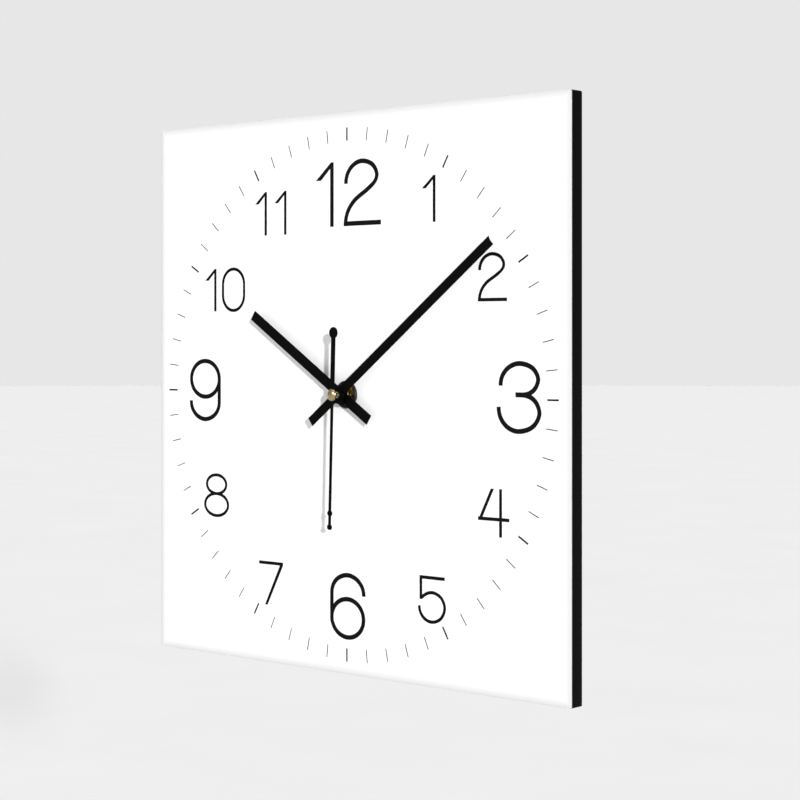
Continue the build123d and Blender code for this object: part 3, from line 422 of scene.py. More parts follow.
@dataclass(frozen=True)
class Finish:
    """A finish that every kind of surface shares: its name and its own colour."""

    name: str
    colour: Colour

    def lay(self, graph: Graph) -> None:
        """Build the finish in a graph; each kind of finish has its own way."""
        raise NotImplementedError

    @cache
    def material(self) -> bpy.types.Material:
        """Return the finish as a material of its own, made on its first use."""
        graph = Graph(f"{self.name}_finish")
        self.lay(graph)
        return graph.material


@dataclass(frozen=True)
class MouldedPlastic(Finish):
    """Injection-moulded plastic with a fine sparked texture from its mould."""

    roughness: float = 0.42
    grain: float = 0.35 * MM
    depth: float = 0.012 * MM
    specular: float = 0.4

    def lay(self, graph: Graph) -> None:
        """Mottle the colour and the gloss, and raise the mould's fine grain."""
        place = graph.place()
        cloud = graph.mottle(place, 9 * MM)
        spark = graph.mottle(place, self.grain, 5.0)
        flow = graph.mottle(graph.place(stretch=(1.0, 1.0, 0.2)), 2.5 * MM)
        graph.set_shader(
            Base_Color=graph.blend(cloud, shade(self.colour, 0.88), shade(self.colour, 1.12)),
            Roughness=(self.roughness + (spark - 0.5) * 0.16 + (flow - 0.5) * 0.08).clamped(),
            Normal=graph.relief(spark, self.depth, 0.6),
            Specular_IOR_Level=self.specular,
        )


@dataclass(frozen=True)
class WhiteSheet(Finish):
    """Smooth white face sheet whose rolled border has shade painted into its colour as a soft grey."""

    # grey painted onto the rolled border as shade, where it turns from the light
    painted_shade_colour: Colour
    centre: Point
    half_width: float
    half_height: float
    border: float
    skirt_start: float
    fade_power: float = 1.2
    skirt_blend: float = 0.1 * MM
    skirt_shade: float = 0.3

    def lay(self, graph: Graph) -> None:
        """Paint shade into the colour towards the edge, and leave a very faint waviness in the gloss."""
        place = graph.place(self.centre)
        across, deep, up = graph.parts(place)
        side = (across.size() - (self.half_width - self.border)) / self.border
        end = (up.size() - (self.half_height - self.border)) / self.border
        # painted shade: the colour greys over the outer border, as the roll turns from the light
        fade = side.larger(end).clamped() ** self.fade_power
        cloud = graph.mottle(place, 30 * MM)
        white = graph.blend(cloud, shade(self.colour, 0.992), self.colour)
        wave = graph.mottle(place, 12 * MM, 1.0)
        skirt = (deep - self.skirt_start) / self.skirt_blend
        # white turns to the painted shade grey over the border
        rolled = graph.blend(fade, white, self.painted_shade_colour)
        dark = shade(self.painted_shade_colour, self.skirt_shade)
        graph.set_shader(
            Base_Color=graph.blend(skirt.clamped(), rolled, dark),
            Roughness=0.5 + (wave - 0.5) * 0.05,
            Normal=graph.relief(wave, 0.02 * MM, 0.25),
            Specular_IOR_Level=0.08,
        )


@dataclass(frozen=True)
class PaintedBoard(Finish):
    """Wood-fibre board sprayed black, with the fibres just showing through behind."""

    thin_colour: Colour
    thin_from: float

    def lay(self, graph: Graph) -> None:
        """Lay fibres along the board's faces under a thin coat of paint."""
        fibre = graph.mottle(graph.place(stretch=(1.0, 6.0, 1.0)), 0.9 * MM, 6.0)
        cloud = graph.mottle(graph.place(), 14 * MM)
        speck = graph.cells(graph.place(), 1.3 * MM)
        _, deep, _ = graph.parts(graph.place())
        thin = graph.blend(deep.over(self.thin_from), self.colour, self.thin_colour)
        streaks = graph.blend(cloud * 0.6 + fibre * 0.4, (0.55, 0.55, 0.55), (1.6, 1.55, 1.5))
        settings = {"data_type": "RGBA", "blend_type": "MULTIPLY"}
        paint = graph.node("ShaderNodeMix", settings, {0: 1.0, 6: thin, 7: streaks})
        graph.set_shader(
            Base_Color=paint.outputs[2],
            Roughness=(0.55 + (fibre - 0.5) * 0.25).clamped(),
            Normal=graph.relief(fibre * 0.7 + speck * 0.3, 0.05 * MM, 0.5),
            Specular_IOR_Level=0.05,
        )


@dataclass(frozen=True)
class ScreenInk(Finish):
    """Screen-printed ink, laid a little unevenly through its mesh."""

    def lay(self, graph: Graph) -> None:
        """Vary the ink's density, and let the screen's mesh show in its skin."""
        place = graph.place()
        density = graph.mottle(place, 2.2 * MM, 4.0)
        across, _, up = graph.parts(place)
        thread = 2 * math.pi / (0.28 * MM)
        mesh = ((across * thread).wave() * (up * thread).wave()) * 0.5 + 0.5
        graph.set_shader(
            Base_Color=graph.blend(density, shade(self.colour, 0.8), shade(self.colour, 1.25)),
            Roughness=(0.55 + (density - 0.5) * 0.15).clamped(),
            Normal=graph.relief(mesh, 0.004 * MM, 0.5),
            Specular_IOR_Level=0.06,
        )


@dataclass(frozen=True)
class HandEnamel(Finish):
    """Thin satin enamel over stamped metal, with a slight orange peel."""

    def lay(self, graph: Graph) -> None:
        """Give the enamel its peel, and a few finer dust specks."""
        place = graph.place()
        peel = graph.mottle(place, 0.6 * MM, 2.0)
        cloud = graph.mottle(place, 7 * MM)
        graph.set_shader(
            Base_Color=graph.blend(cloud, shade(self.colour, 0.7), shade(self.colour, 1.4)),
            Roughness=(0.38 + (peel - 0.5) * 0.2).clamped(),
            Normal=graph.relief(peel, 0.01 * MM, 0.5),
            Specular_IOR_Level=0.04,
        )


@dataclass(frozen=True)
class TurnedMetal(Finish):
    """Metal faced on a lathe: fine rings round an axis that runs into the wall."""

    roughness: float = 0.2
    ring: float = 0.09 * MM
    axis: Point = (0.0, 0.0, 0.0)

    def lay(self, graph: Graph) -> None:
        """Cut rings by the distance from the axis, and tarnish the metal in patches."""
        place = graph.place(centre=self.axis)
        across, deep, up = graph.parts(place)
        distance = (across * across + up * up) ** 0.5
        rings = ((distance + deep) * (2 * math.pi / self.ring)).wave() * 0.5 + 0.5
        tarnish = graph.mottle(place, 1.6 * MM, 4.0)
        graph.set_shader(
            Base_Color=graph.blend(tarnish, shade(self.colour, 0.72), shade(self.colour, 1.1)),
            Metallic=1.0,
            Roughness=(self.roughness + (tarnish - 0.5) * 0.18 + (rings - 0.5) * 0.06).clamped(),
            Normal=graph.relief(rings, 0.003 * MM, 0.5),
        )


@dataclass(frozen=True)
class BrushedMetal(Finish):
    """Plated or bare sheet metal, brushed one way."""

    roughness: float = 0.34
    brush: Point = (1.0, 1.0, 0.03)
    grain: float = 0.12 * MM

    def lay(self, graph: Graph) -> None:
        """Draw the brush lines out along one direction, over cloudy plating."""
        lines = graph.mottle(graph.place(stretch=self.brush), self.grain, 4.0)
        cloud = graph.mottle(graph.place(), 6 * MM)
        plating = cloud * 0.5 + lines * 0.5
        graph.set_shader(
            Base_Color=graph.blend(plating, shade(self.colour, 0.78), shade(self.colour, 1.12)),
            Metallic=1.0,
            Roughness=(self.roughness + (lines - 0.5) * 0.3 + (cloud - 0.5) * 0.15).clamped(),
            Normal=graph.relief(lines, 0.006 * MM, 0.6),
        )


@dataclass(frozen=True)
class MattRubber(Finish):
    """Moulded rubber with a dusty bloom."""

    def lay(self, graph: Graph) -> None:
        """Lay the bloom in patches over a fine, dull skin."""
        place = graph.place()
        bloom = graph.mottle(place, 5 * MM, 4.0)
        skin = graph.mottle(place, 0.4 * MM, 4.0)
        graph.set_shader(
            Base_Color=graph.blend(bloom, self.colour, shade(self.colour, 1.9)),
            Roughness=(0.78 + (skin - 0.5) * 0.2).clamped(),
            Normal=graph.relief(skin, 0.03 * MM, 0.6),
            Specular_IOR_Level=0.25,
        )


@dataclass(frozen=True)
class EnamelledWire(Finish):
    """Copper wire under clear enamel."""

    def lay(self, graph: Graph) -> None:
        """Darken the enamel in streaks along the turns."""
        streak = graph.mottle(graph.place(stretch=(0.3, 0.3, 3.0)), 0.5 * MM, 4.0)
        graph.set_shader(
            Base_Color=graph.blend(streak, shade(self.colour, 0.6), shade(self.colour, 1.15)),
            Metallic=0.9,
            Roughness=(0.26 + (streak - 0.5) * 0.2).clamped(),
            Coat_Weight=0.4,
        )


@dataclass(frozen=True)
class CellSleeve(Finish):
    """Printed sleeve shrunk round a battery, bare metal at its negative end."""

    band: Colour
    left: float
    right: float
    band_width: float = 15 * MM
    line_start: float = 16.2 * MM
    line_end: float = 15.6 * MM
    bare_left: float = 0.6 * MM
    bare_right: float = 0.5 * MM

    def lay(self, graph: Graph) -> None:
        """Print a coloured band near the positive end, and bare the crimped rims."""
        place = graph.place()
        across, _, _ = graph.parts(place)
        cloud = graph.mottle(place, 3 * MM)
        shrink = graph.mottle(graph.place(stretch=(0.15, 1.0, 1.0)), 0.8 * MM, 3.0)
        sleeve = graph.blend(cloud, shade(self.colour, 0.85), shade(self.colour, 1.1))
        banded = graph.blend(across.over(self.right - self.band_width), sleeve, self.band)
        line = across.over(self.right - self.line_start) * (1 - across.over(self.right - self.line_end))
        lined = graph.blend(line, banded, (0.75, 0.75, 0.72))
        rear = 1 - across.over(self.left + self.bare_left)
        bare = rear.larger(across.over(self.right - self.bare_right))
        graph.set_shader(
            Base_Color=graph.blend(bare, lined, (0.62, 0.62, 0.6)),
            Metallic=bare * 0.9,
            Roughness=(0.3 + (shrink - 0.5) * 0.15).clamped(),
            Normal=graph.relief(shrink, 0.02 * MM, 0.4),
        )


@dataclass(frozen=True)
class CircuitLaminate(Finish):
    """Resin-bonded paper board with tinned tracks under its lacquer."""

    track: Colour

    def lay(self, graph: Graph) -> None:
        """Run tracks along the board in steps, and mottle the paper between them."""
        place = graph.place()
        across, _, up = graph.parts(place)
        paper = graph.mottle(graph.place(stretch=(1.0, 1.0, 3.0)), 0.5 * MM, 5.0)
        step = (across * (2 * math.pi / (7 * MM))).wave().over(0.0) * 0.6 * MM
        tracks = ((up + step) * (2 * math.pi / (1.3 * MM))).wave().over(0.35)
        board = graph.blend(paper, shade(self.colour, 0.75), shade(self.colour, 1.2))
        graph.set_shader(
            Base_Color=graph.blend(tracks, board, self.track),
            Metallic=tracks * 0.85,
            Roughness=(0.5 - tracks * 0.2 + (paper - 0.5) * 0.2).clamped(),
            Normal=graph.relief(tracks, 0.03 * MM, 0.6),
        )


# Colours of the finishes; the border grey and the cap's darker brass are painted shade
WHITE: Colour = (0.905, 0.905, 0.905)
# grey painted over the sheet's rolled border as shade
PAINTED_BORDER_SHADE: Colour = (0.62, 0.625, 0.63)
BRASS: Colour = (0.83, 0.62, 0.27)
STEEL: Colour = (0.58, 0.58, 0.57)

INK = ScreenInk("dial_ink", (0.002, 0.002, 0.002))
HAND_BLACK = HandEnamel("hand_black", (0.0008, 0.0008, 0.0008))
BRASS_BRIGHT = TurnedMetal("brass_bright", BRASS)
# the cap is the same brass as the collets, with shade painted in as a darker colour
SHADED_CAP_BRASS = TurnedMetal("shaded_cap_brass", (0.46, 0.34, 0.19), roughness=0.2, ring=0.16 * MM)
WASHER_BLACK = MouldedPlastic("washer_black", (0.008, 0.008, 0.008), roughness=0.3, specular=0.3)
CASE_BLACK = MouldedPlastic("case_black", (0.02, 0.02, 0.021), roughness=0.48)
COVER_BLACK = MouldedPlastic("cover_black", (0.024, 0.024, 0.025), roughness=0.4, grain=0.25 * MM)
PLATE_WHITE = MouldedPlastic("plate_white", (0.78, 0.77, 0.73), roughness=0.35)
WHEEL_WHITE = MouldedPlastic("wheel_white", (0.82, 0.82, 0.80), roughness=0.3, grain=0.2 * MM)
WHEEL_RED = MouldedPlastic("wheel_red", (0.55, 0.05, 0.04), roughness=0.3, grain=0.2 * MM)
KNOB_GREY = MouldedPlastic("knob_grey", (0.30, 0.30, 0.31), roughness=0.4, grain=0.2 * MM)
BOBBIN_GREEN = MouldedPlastic("bobbin_green", (0.06, 0.25, 0.14), roughness=0.35, grain=0.2 * MM)
CHIP_EPOXY = MouldedPlastic("chip_epoxy", (0.012, 0.012, 0.012), roughness=0.18, grain=0.8 * MM)
HANGER_STEEL = BrushedMetal("hanger_steel", (0.60, 0.60, 0.60))
ARBOR_STEEL = BrushedMetal("arbor_steel", STEEL, roughness=0.22, brush=(1.0, 0.05, 1.0), grain=0.05 * MM)
STATOR_STEEL = BrushedMetal("stator_steel", (0.42, 0.42, 0.44), roughness=0.4)
CONTACT_NICKEL = BrushedMetal("contact_nickel", (0.66, 0.64, 0.60), roughness=0.24, grain=0.08 * MM)
CRYSTAL_CAN = BrushedMetal(
    "crystal_can", (0.70, 0.70, 0.70), roughness=0.2, brush=(0.05, 1.0, 1.0), grain=0.06 * MM
)
CELL_CAP = TurnedMetal("cell_cap", (0.66, 0.66, 0.65), roughness=0.22)
MAGNET_DARK = BrushedMetal("magnet_dark", (0.10, 0.10, 0.11), roughness=0.5, grain=0.1 * MM)
SPACER_RUBBER = MattRubber("spacer_rubber", (0.014, 0.014, 0.014))
COIL_COPPER = EnamelledWire("coil_copper", (0.62, 0.26, 0.11))
CIRCUIT_BROWN = CircuitLaminate("circuit_brown", (0.20, 0.10, 0.035), (0.62, 0.60, 0.55))


# ------------------------------------------------------------- sub-assemblies


@dataclass
class SubAssembly:
    """A group of pieces that is built and dressed together."""

    def dress(self, finish: Finish, *nodes: str) -> None:
        """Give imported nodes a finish.

        Args:
            finish: The finish to lay.
            nodes: Names of the nodes.
        """
        for name in nodes:
            node = frame["nodes"][name]
            node.data.materials.clear()
            node.data.materials.append(finish.material())
            LOG.info("%s: %s in %s", type(self).__name__, name, finish.name)

    def add(
        self, grid: Array, name: str, node: str, finish: Finish, slot: str, loop: bool = False
    ) -> None:
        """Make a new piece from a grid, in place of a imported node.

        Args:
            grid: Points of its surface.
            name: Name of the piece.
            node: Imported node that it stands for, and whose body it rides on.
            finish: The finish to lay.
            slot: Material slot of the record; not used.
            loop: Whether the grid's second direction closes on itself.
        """
        body = frame["nodes"][node]["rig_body"]
        piece = mesh_piece(name, grid, body, loop)
        piece.data.materials.append(finish.material())
        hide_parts(node)
        LOG.info("%s: made %s with %d faces", type(self).__name__, name, len(piece.data.polygons))

    def build(self) -> None:
        """Build the pieces; each sub-assembly has its own way."""
        raise NotImplementedError


@dataclass
class Dial(SubAssembly):
    """White face sheet with its rolled border, and the print on it."""

    border: float = 4.5 * MM
    # width over which shade is painted into the sheet's colour
    fade: float = 7.0 * MM
    drop: float = 0.2 * MM
    rim: float = 0.25 * MM
    corner: float = 0.8 * MM
    hole: float = 4.05 * MM
    inner_ring: float = 1.5  # of the hole, where the flat face starts
    border_lead: float = 1.02  # of the border, where the flat face ends
    side_steps: int = 28
    corner_points: int = 5
    border_rows: int = 12

    def sheet_grid(self, low: Vector, high: Vector) -> Array:
        """Closed surface of the sheet, from the hole out over the border and back.

        A point is its rim line's point drawn in by an inset, or a circle's point in the
        same direction for the hole. Over the border, whose width is b, the front falls
        by drop (s / b) squared at a distance s past the border's start, and a small
        quarter round of radius rim leads to the side.
        """
        half = ((high.x - low.x) / 2, (high.z - low.z) / 2)
        rows = []
        rim_line = rounded_rectangle(*half, self.corner, self.side_steps, self.corner_points)
        centre = np.array(((low.x + high.x) / 2, (low.z + high.z) / 2))
        rim_line = rim_line + centre
        ring = self.hole * rim_line / np.linalg.norm(rim_line, axis=1)[:, None]

        def drawn_in(inset: float) -> Array:
            """Rim line drawn in by an inset towards the middle."""
            return centre + (rim_line - centre) * (1 - inset / np.array(half))

        def row(outline: Array, deep: float) -> None:
            """Add an outline at a depth."""
            rows.append(np.column_stack((outline[:, 0], np.full(len(outline), deep), outline[:, 1])))

        front, back = low.y, high.y
        row(ring, back)
        row(ring, front)
        row(ring * self.inner_ring, front)
        row(drawn_in(self.border * self.border_lead), front)
        for share in np.linspace(0, 1, self.border_rows):
            inset = self.rim + (self.border - self.rim) * (1 - share)
            row(drawn_in(inset), front + self.drop * share**2)
        for angle in np.radians((30, 60, 90)):
            inset = self.rim * (1 - math.sin(angle))
            row(drawn_in(inset), front + self.drop + self.rim * (1 - math.cos(angle)))
        row(rim_line, back)
        return np.stack(rows, axis=1)

    def build(self) -> None:
        """Roll the sheet and print the dial."""
        low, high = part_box("face_sheet")
        half = (high - low) / 2
        skirt = self.drop + self.rim / 2 - half.y
        centre = tuple((low + high) / 2)
        # the sheet's finish paints shade in grey over its border
        white = WhiteSheet("face_white", WHITE, PAINTED_BORDER_SHADE, centre, half.x, half.z, self.fade, skirt)
        sheet = self.sheet_grid(low, high)
        self.add(sheet, "rolled_face_sheet", "face_sheet", white, "face_white", loop=True)
        self.dress(INK, "numerals", "hour_marks", "minute_marks")


@dataclass
class BackBoard(SubAssembly):
    """Black board behind the sheet, and the rubber spacers under its lower corners."""

    front_edge: float = 0.15 * MM
    back_edge: float = 0.8 * MM
    corner: float = 0.8 * MM
    hole: float = 4.05 * MM
    foot_edge: float = 1.4 * MM
    foot_dimple: float = 2.4 * MM
    dimple_depth: float = 2.0 * MM
    dimple_edge: float = 0.5 * MM
    foot_base: float = 0.8 * MM
    foot_taper: float = 7 / 9  # of the base, at the tip
    thin_depth: float = 0.1 * MM  # the back face that is thinly painted
    side_steps: int = 24
    corner_points: int = 5

    def board_grid(self, low: Vector, high: Vector) -> Array:
        """Closed surface of the board, a section carried round its outline.

        The section runs from the hole over the front face, round a small front edge,
        down the side, round a larger back edge and over the back face.
        """
        half = ((high.x - low.x) / 2, (high.z - low.z) / 2)
        outline = rounded_rectangle(*half, self.corner, self.side_steps, self.corner_points)
        centre = np.array(((low.x + high.x) / 2, (low.z + high.z) / 2))
        toward = outline + centre
        ring = self.hole * toward / np.linalg.norm(toward, axis=1)[:, None]
        front, back = low.y, high.y
        section = profile_of(
            arc((-self.front_edge, front + self.front_edge), self.front_edge, -90, 0, 4),
            arc((-self.back_edge, back - self.back_edge), self.back_edge, 0, 90, 6),
        )
        inset = 1 + section[:, 0][None, :, None] / np.array(half)
        edge = centre + outline[:, None, :] * inset
        depth = np.broadcast_to(section[:, 1][None, :, None], (*edge.shape[:2], 1))
        rim = np.concatenate((edge[..., :1], depth, edge[..., 1:]), axis=-1)
        mouth = np.stack(
            [np.column_stack((ring[:, 0], np.full(len(ring), y), ring[:, 1])) for y in (front, back)], 1
        )
        return np.concatenate((mouth[:, :1], rim, mouth[:, 1:]), axis=1)

    def foot_grid(self, low: Vector, high: Vector) -> Array:
        """Spacer turned from a tapered profile with a round edge and a dimple in its foot."""
        base = (high.x - low.x) / 2
        tip = base * self.foot_taper
        edge, mouth = self.foot_edge, self.dimple_edge
        profile = profile_of(
            (0.0, low.y),
            (base, low.y),
            (base, low.y + self.foot_base),
            arc((tip - edge, high.y - edge), edge, 12, 90, 7),
            arc((self.foot_dimple + mouth, high.y - mouth), mouth, 90, 180, 5),
            (self.foot_dimple, high.y - self.dimple_depth),
            (0.0, high.y - self.dimple_depth),
        )
        return turned(profile, Axis.DEEP, ((low.x + high.x) / 2, 0.0, (low.z + high.z) / 2), 64)

    def build(self) -> None:
        """Cut the board and mould the spacers."""
        low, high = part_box("board")
        thin_from = high.y - self.thin_depth
        paint = PaintedBoard("board_black", (0.0012, 0.0012, 0.0014), (0.014, 0.013, 0.012), thin_from)
        self.add(self.board_grid(low, high), "edged_board", "board", paint, "board_black", loop=True)
        for side in ("left", "right"):
            node = f"wall_spacer_{side}"
            self.add(self.foot_grid(*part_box(node)), f"foot_{side}", node, SPACER_RUBBER, "spacer_rubber")


@dataclass
class BushingStack(SubAssembly):
    """Threaded bushing with the washers and the nut that clamp the dial."""

    bore: float = 2.55 * MM
    pitch: float = 0.75 * MM
    thread_depth: float = 0.32 * MM
    lead_in: float = 0.45 * MM
    rows_per_turn: int = 8
    steps: int = 72
    flange_depth: float = 0.7 * MM
    gasket_reach: float = 10.05 * MM  # from the thread to the edge of the gasket
    cup_inside: float = 0.15 * MM
    washer_width: float = 3.5 * MM
    cup_rim: float = 1.5 * MM
    cup_wall: float = 1.4 * MM

    def thread_grid(
        self, flange: float, radius: float, back: float, front: float, collar: float
    ) -> Array:
        """Closed surface of the bushing, whose thread is a helix.

        At angle a and depth d the crest drops in by depth times the size of
        2 f - 1, where f is the fraction part of d / pitch + a / (2 pi), and the drop
        fades out over the collar and over the lead-in at the front.
        """
        steps = self.steps
        angle = np.linspace(0, 2 * np.pi, steps, endpoint=False)
        count = int((collar - front) / self.pitch * self.rows_per_turn)
        depth = np.linspace(collar, front, count)
        turn = np.mod(depth[None, :] / self.pitch + angle[:, None] / (2 * np.pi), 1.0)
        fade = np.clip((collar - depth) / self.pitch, 0, 1)[None, :]
        lead = np.clip((front + self.lead_in - depth) / self.lead_in, 0, 1)[None, :]
        crest = radius - self.thread_depth * (fade * np.abs(2 * turn - 1) + lead)
        ends = ((self.bore, back), (flange, back), (flange, collar))
        radii = [np.full((steps, 1), r) for r, _ in ends] + [crest, np.full((steps, 1), self.bore)]
        places = [np.full((steps, 1), d) for _, d in ends]
        places += [np.broadcast_to(depth, crest.shape), np.full((steps, 1), front)]
        radial, deep = np.hstack(radii), np.hstack(places)
        across, up = radial * np.cos(angle)[:, None], radial * np.sin(angle)[:, None]
        return np.stack((across, deep, up), axis=-1)

    def cup_grid(self, low: Vector, high: Vector) -> Array:
        """Washer turned with a round raised rim that frames the nut."""
        outer = (high.x - low.x) / 2
        wall, face = self.cup_wall / 2, high.y
        bore = outer - self.washer_width
        profile = profile_of(
            (bore, face),
            (bore, low.y),
            (outer - self.cup_wall - self.cup_inside, low.y),
            arc((outer - wall, face - self.cup_rim + wall), wall, 180, 360, 13),
            (outer, face),
        )
        return turned(profile, Axis.DEEP, (0.0, 0.0, 0.0), 120)

    def build(self) -> None:
        """Cut the thread, turn the cup washer, and dress the rest."""
        low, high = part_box("threaded_bushing")
        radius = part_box("board_gasket")[1].x - self.gasket_reach
        collar = high.y - self.flange_depth
        thread = self.thread_grid(high.x, radius, high.y, low.y, collar)
        self.add(
            thread, "cut_thread_bushing", "threaded_bushing", BRASS_BRIGHT, "brass_bright", loop=True
        )
        cup = self.cup_grid(*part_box("dial_washer"))
        self.add(cup, "cup_washer", "dial_washer", WASHER_BLACK, "washer_black", loop=True)
        self.dress(BRASS_BRIGHT, "brass_washer", "dial_nut")
        self.dress(SPACER_RUBBER, "board_gasket")
        self.dress(HANGER_STEEL, "hanger_plate")


@dataclass
class HandSet(SubAssembly):
    """The three hands with their collets, and the brass cap in front."""

    cap_rim: float = 0.3 * MM
    cap_step: float = 0.22 * MM

    def cap_grid(self, low: Vector, high: Vector) -> Array:
        """Cap turned as a short rim, a fine step and a dome that is a quarter of an ellipse.

        At angle a the dome's point is r cos a from the axis and h sin a above the step.
        """
        outer = (high.x - low.x) / 2
        dome = outer - self.cap_step
        step = high.y - self.cap_rim
        rise = step - low.y
        angle = np.radians(np.linspace(0, 90, 20))
        crown = np.column_stack((dome * np.cos(angle), step - rise * np.sin(angle)))
        crown[-1, 0] = 0.0
        profile = profile_of((0.0, high.y), (outer, high.y), (outer, step), crown)
        return turned(profile, Axis.DEEP, (0.0, 0.0, 0.0), 96)

    def build(self) -> None:
        """Enamel the hands and turn the cap."""
        self.dress(HAND_BLACK, "hour_hand", "minute_hand", "second_hand")
        self.dress(BRASS_BRIGHT, "minute_hand_collet", "second_hand_collet")
        cap = self.cap_grid(*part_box("second_hand_cap"))
        # the cap's brass carries painted shade
        self.add(cap, "domed_cap", "second_hand_cap", SHADED_CAP_BRASS, "brass_bright")


@dataclass
class Housing(SubAssembly):
    """Case, back cover and inner plate of the movement."""

    def build(self) -> None:
        """Dress the mouldings."""
        self.dress(CASE_BLACK, "movement_case")
        self.dress(COVER_BLACK, "movement_cover")
        self.dress(PLATE_WHITE, "train_plate")


@dataclass
class Battery(SubAssembly):
    """The battery in its bay, and the contacts at both ends."""

    crimp: float = 0.55 * MM
    step: float = 0.25 * MM
    shoulder: float = 1.1 * MM
    plate_edge: float = 2.4 * MM  # these five are in from the wall
    plate_step: float = 2.1 * MM
    crimp_start: float = 1.3 * MM
    end_edge: float = 1.5 * MM
    end_step: float = 1.8 * MM
    end_drop: float = 0.2 * MM

    def cell_grid(self, low: Vector, high: Vector) -> Array:
        """Cell turned with a stepped plate, a crimped rim, a long wall and a round shoulder."""
        outer = (high.y - low.y) / 2
        length = high.x - low.x
        crimp, shoulder = self.crimp, self.shoulder
        profile = profile_of(
            (0.0, 0.0),
            (outer - self.plate_edge, 0.0),
            (outer - self.plate_step, self.step),
            (outer - self.crimp_start, self.step),
            arc((outer - crimp, crimp), crimp, 250, 360, 8),
            (outer, length - shoulder),
            arc((outer - shoulder, length - shoulder), shoulder, 0, 80, 8),
            (outer - self.end_edge, length - self.end_drop),
            (outer - self.end_step, length),
            (0.0, length),
        )
        return turned(profile, Axis.ACROSS, (low.x, (low.y + high.y) / 2, (low.z + high.z) / 2), 80)

    def build(self) -> None:
        """Turn the cell and dress the metal round it."""
        low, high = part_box("battery_cell")
        sleeve = CellSleeve("cell_sleeve", (0.16, 0.17, 0.19), (0.05, 0.24, 0.16), low.x, high.x)
        self.add(self.cell_grid(low, high), "sleeved_cell", "battery_cell", sleeve, "cell_sleeve")
        self.dress(CELL_CAP, "battery_nub")
        self.dress(CONTACT_NICKEL, "negative_contact", "positive_contact")


@dataclass
class StepMotor(SubAssembly):
    """Stator, coil and rotor, with the circuit that drives them."""

    wire: float = 0.2 * MM
    rows_per_wire: int = 5
    sink: float = 0.3
    corner: float = 1.6 * MM
    inner_half: tuple[float, float] = (2.15 * MM, 0.9 * MM)
    can_edge: float = 0.35 * MM
    inner_corner: float = 0.1 * MM
    side_steps: int = 4
    corner_points: int = 6
    flange_rim: float = 0.08 * MM
    flange_depth: float = 0.35 * MM
    flange_end: float = 0.4 * MM

    def winding_grid(self, low: Vector, high: Vector) -> Array:
        """Closed surface of the winding, a rounded section with one ridge for each wire.

        At height h above the lower end the section draws in by sink times the wire's
        size times 1 minus the size of sin(pi h / wire), and both ends fold in to the bobbin.
        """
        half = ((high.x - low.x) / 2, (high.y - low.y) / 2)
        steps = (self.side_steps, self.corner_points)
        outline = rounded_rectangle(*half, self.corner, *steps)
        inner = rounded_rectangle(*self.inner_half, self.inner_corner, *steps)
        turns = round((high.z - low.z) / self.wire)
        height = np.linspace(0, high.z - low.z, turns * self.rows_per_wire + 1)
        dip = self.sink * self.wire * (1 - np.abs(np.sin(np.pi * height * turns / height[-1])))
        factor = 1 - dip[None, :, None] / np.array(half)
        walls = outline[:, None, :] * factor
        flat = np.concatenate((inner[:, None, :], walls, inner[:, None, :]), axis=1)
        levels = np.concatenate((height[:1], height, height[-1:])) + low.z
        centre = (low + high) / 2
        up = np.broadcast_to(levels[None, :, None], (*flat.shape[:2], 1))
        return np.concatenate((flat + np.array((centre.x, centre.y)), up), axis=-1)

    def can_grid(self, low: Vector, high: Vector) -> Array:
        """Crystal can turned with one round end and a flange at the other."""
        outer, length, edge = (high.y - low.y) / 2, high.x - low.x, self.can_edge
        body = outer - self.flange_rim
        profile = profile_of(
            (0.0, 0.0),
            (outer, 0.0),
            (outer, self.flange_depth),
            (body, self.flange_end),
            arc((body - edge, length - edge), edge, 0, 90, 6),
            (0.0, length),
        )
        return turned(profile, Axis.ACROSS, (low.x, (low.y + high.y) / 2, (low.z + high.z) / 2), 48)

    def build(self) -> None:
        """Wind the coil and dress the motor and its circuit."""
        winding = self.winding_grid(*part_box("coil_winding"))
        self.add(winding, "wound_coil", "coil_winding", COIL_COPPER, "coil_copper", loop=True)
        can = self.can_grid(*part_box("quartz_crystal"))
        self.add(can, "crystal_can_piece", "quartz_crystal", CRYSTAL_CAN, "crystal_can")
        self.dress(STATOR_STEEL, "stator", "coil_core")
        self.dress(BOBBIN_GREEN, "coil_bobbin")
        self.dress(MAGNET_DARK, "rotor_magnet")
        self.dress(WHEEL_WHITE, "rotor_pinion")
        self.dress(CIRCUIT_BROWN, "circuit_board")
        self.dress(CHIP_EPOXY, "chip_cover")


@dataclass
class GearTrain(SubAssembly):
    """Wheels from the rotor to the hands, and the setting work."""

    def build(self) -> None:
        """Dress the wheels, the arbors and the knob."""
        self.dress(WHEEL_WHITE, "intermediate_wheel", "intermediate_pinion")
        self.dress(WHEEL_WHITE, "third_wheel", "third_pinion")
        self.dress(WHEEL_WHITE, "centre_wheel", "hour_wheel", "minute_wheel")
        self.dress(WHEEL_RED, "second_wheel")
        self.dress(ARBOR_STEEL, "second_arbor", "minute_arbor", "setting_arbor")
        self.dress(CONTACT_NICKEL, "clutch_spring")
        self.dress(KNOB_GREY, "setting_knob")


# --------------------------------------------------------------------- studio


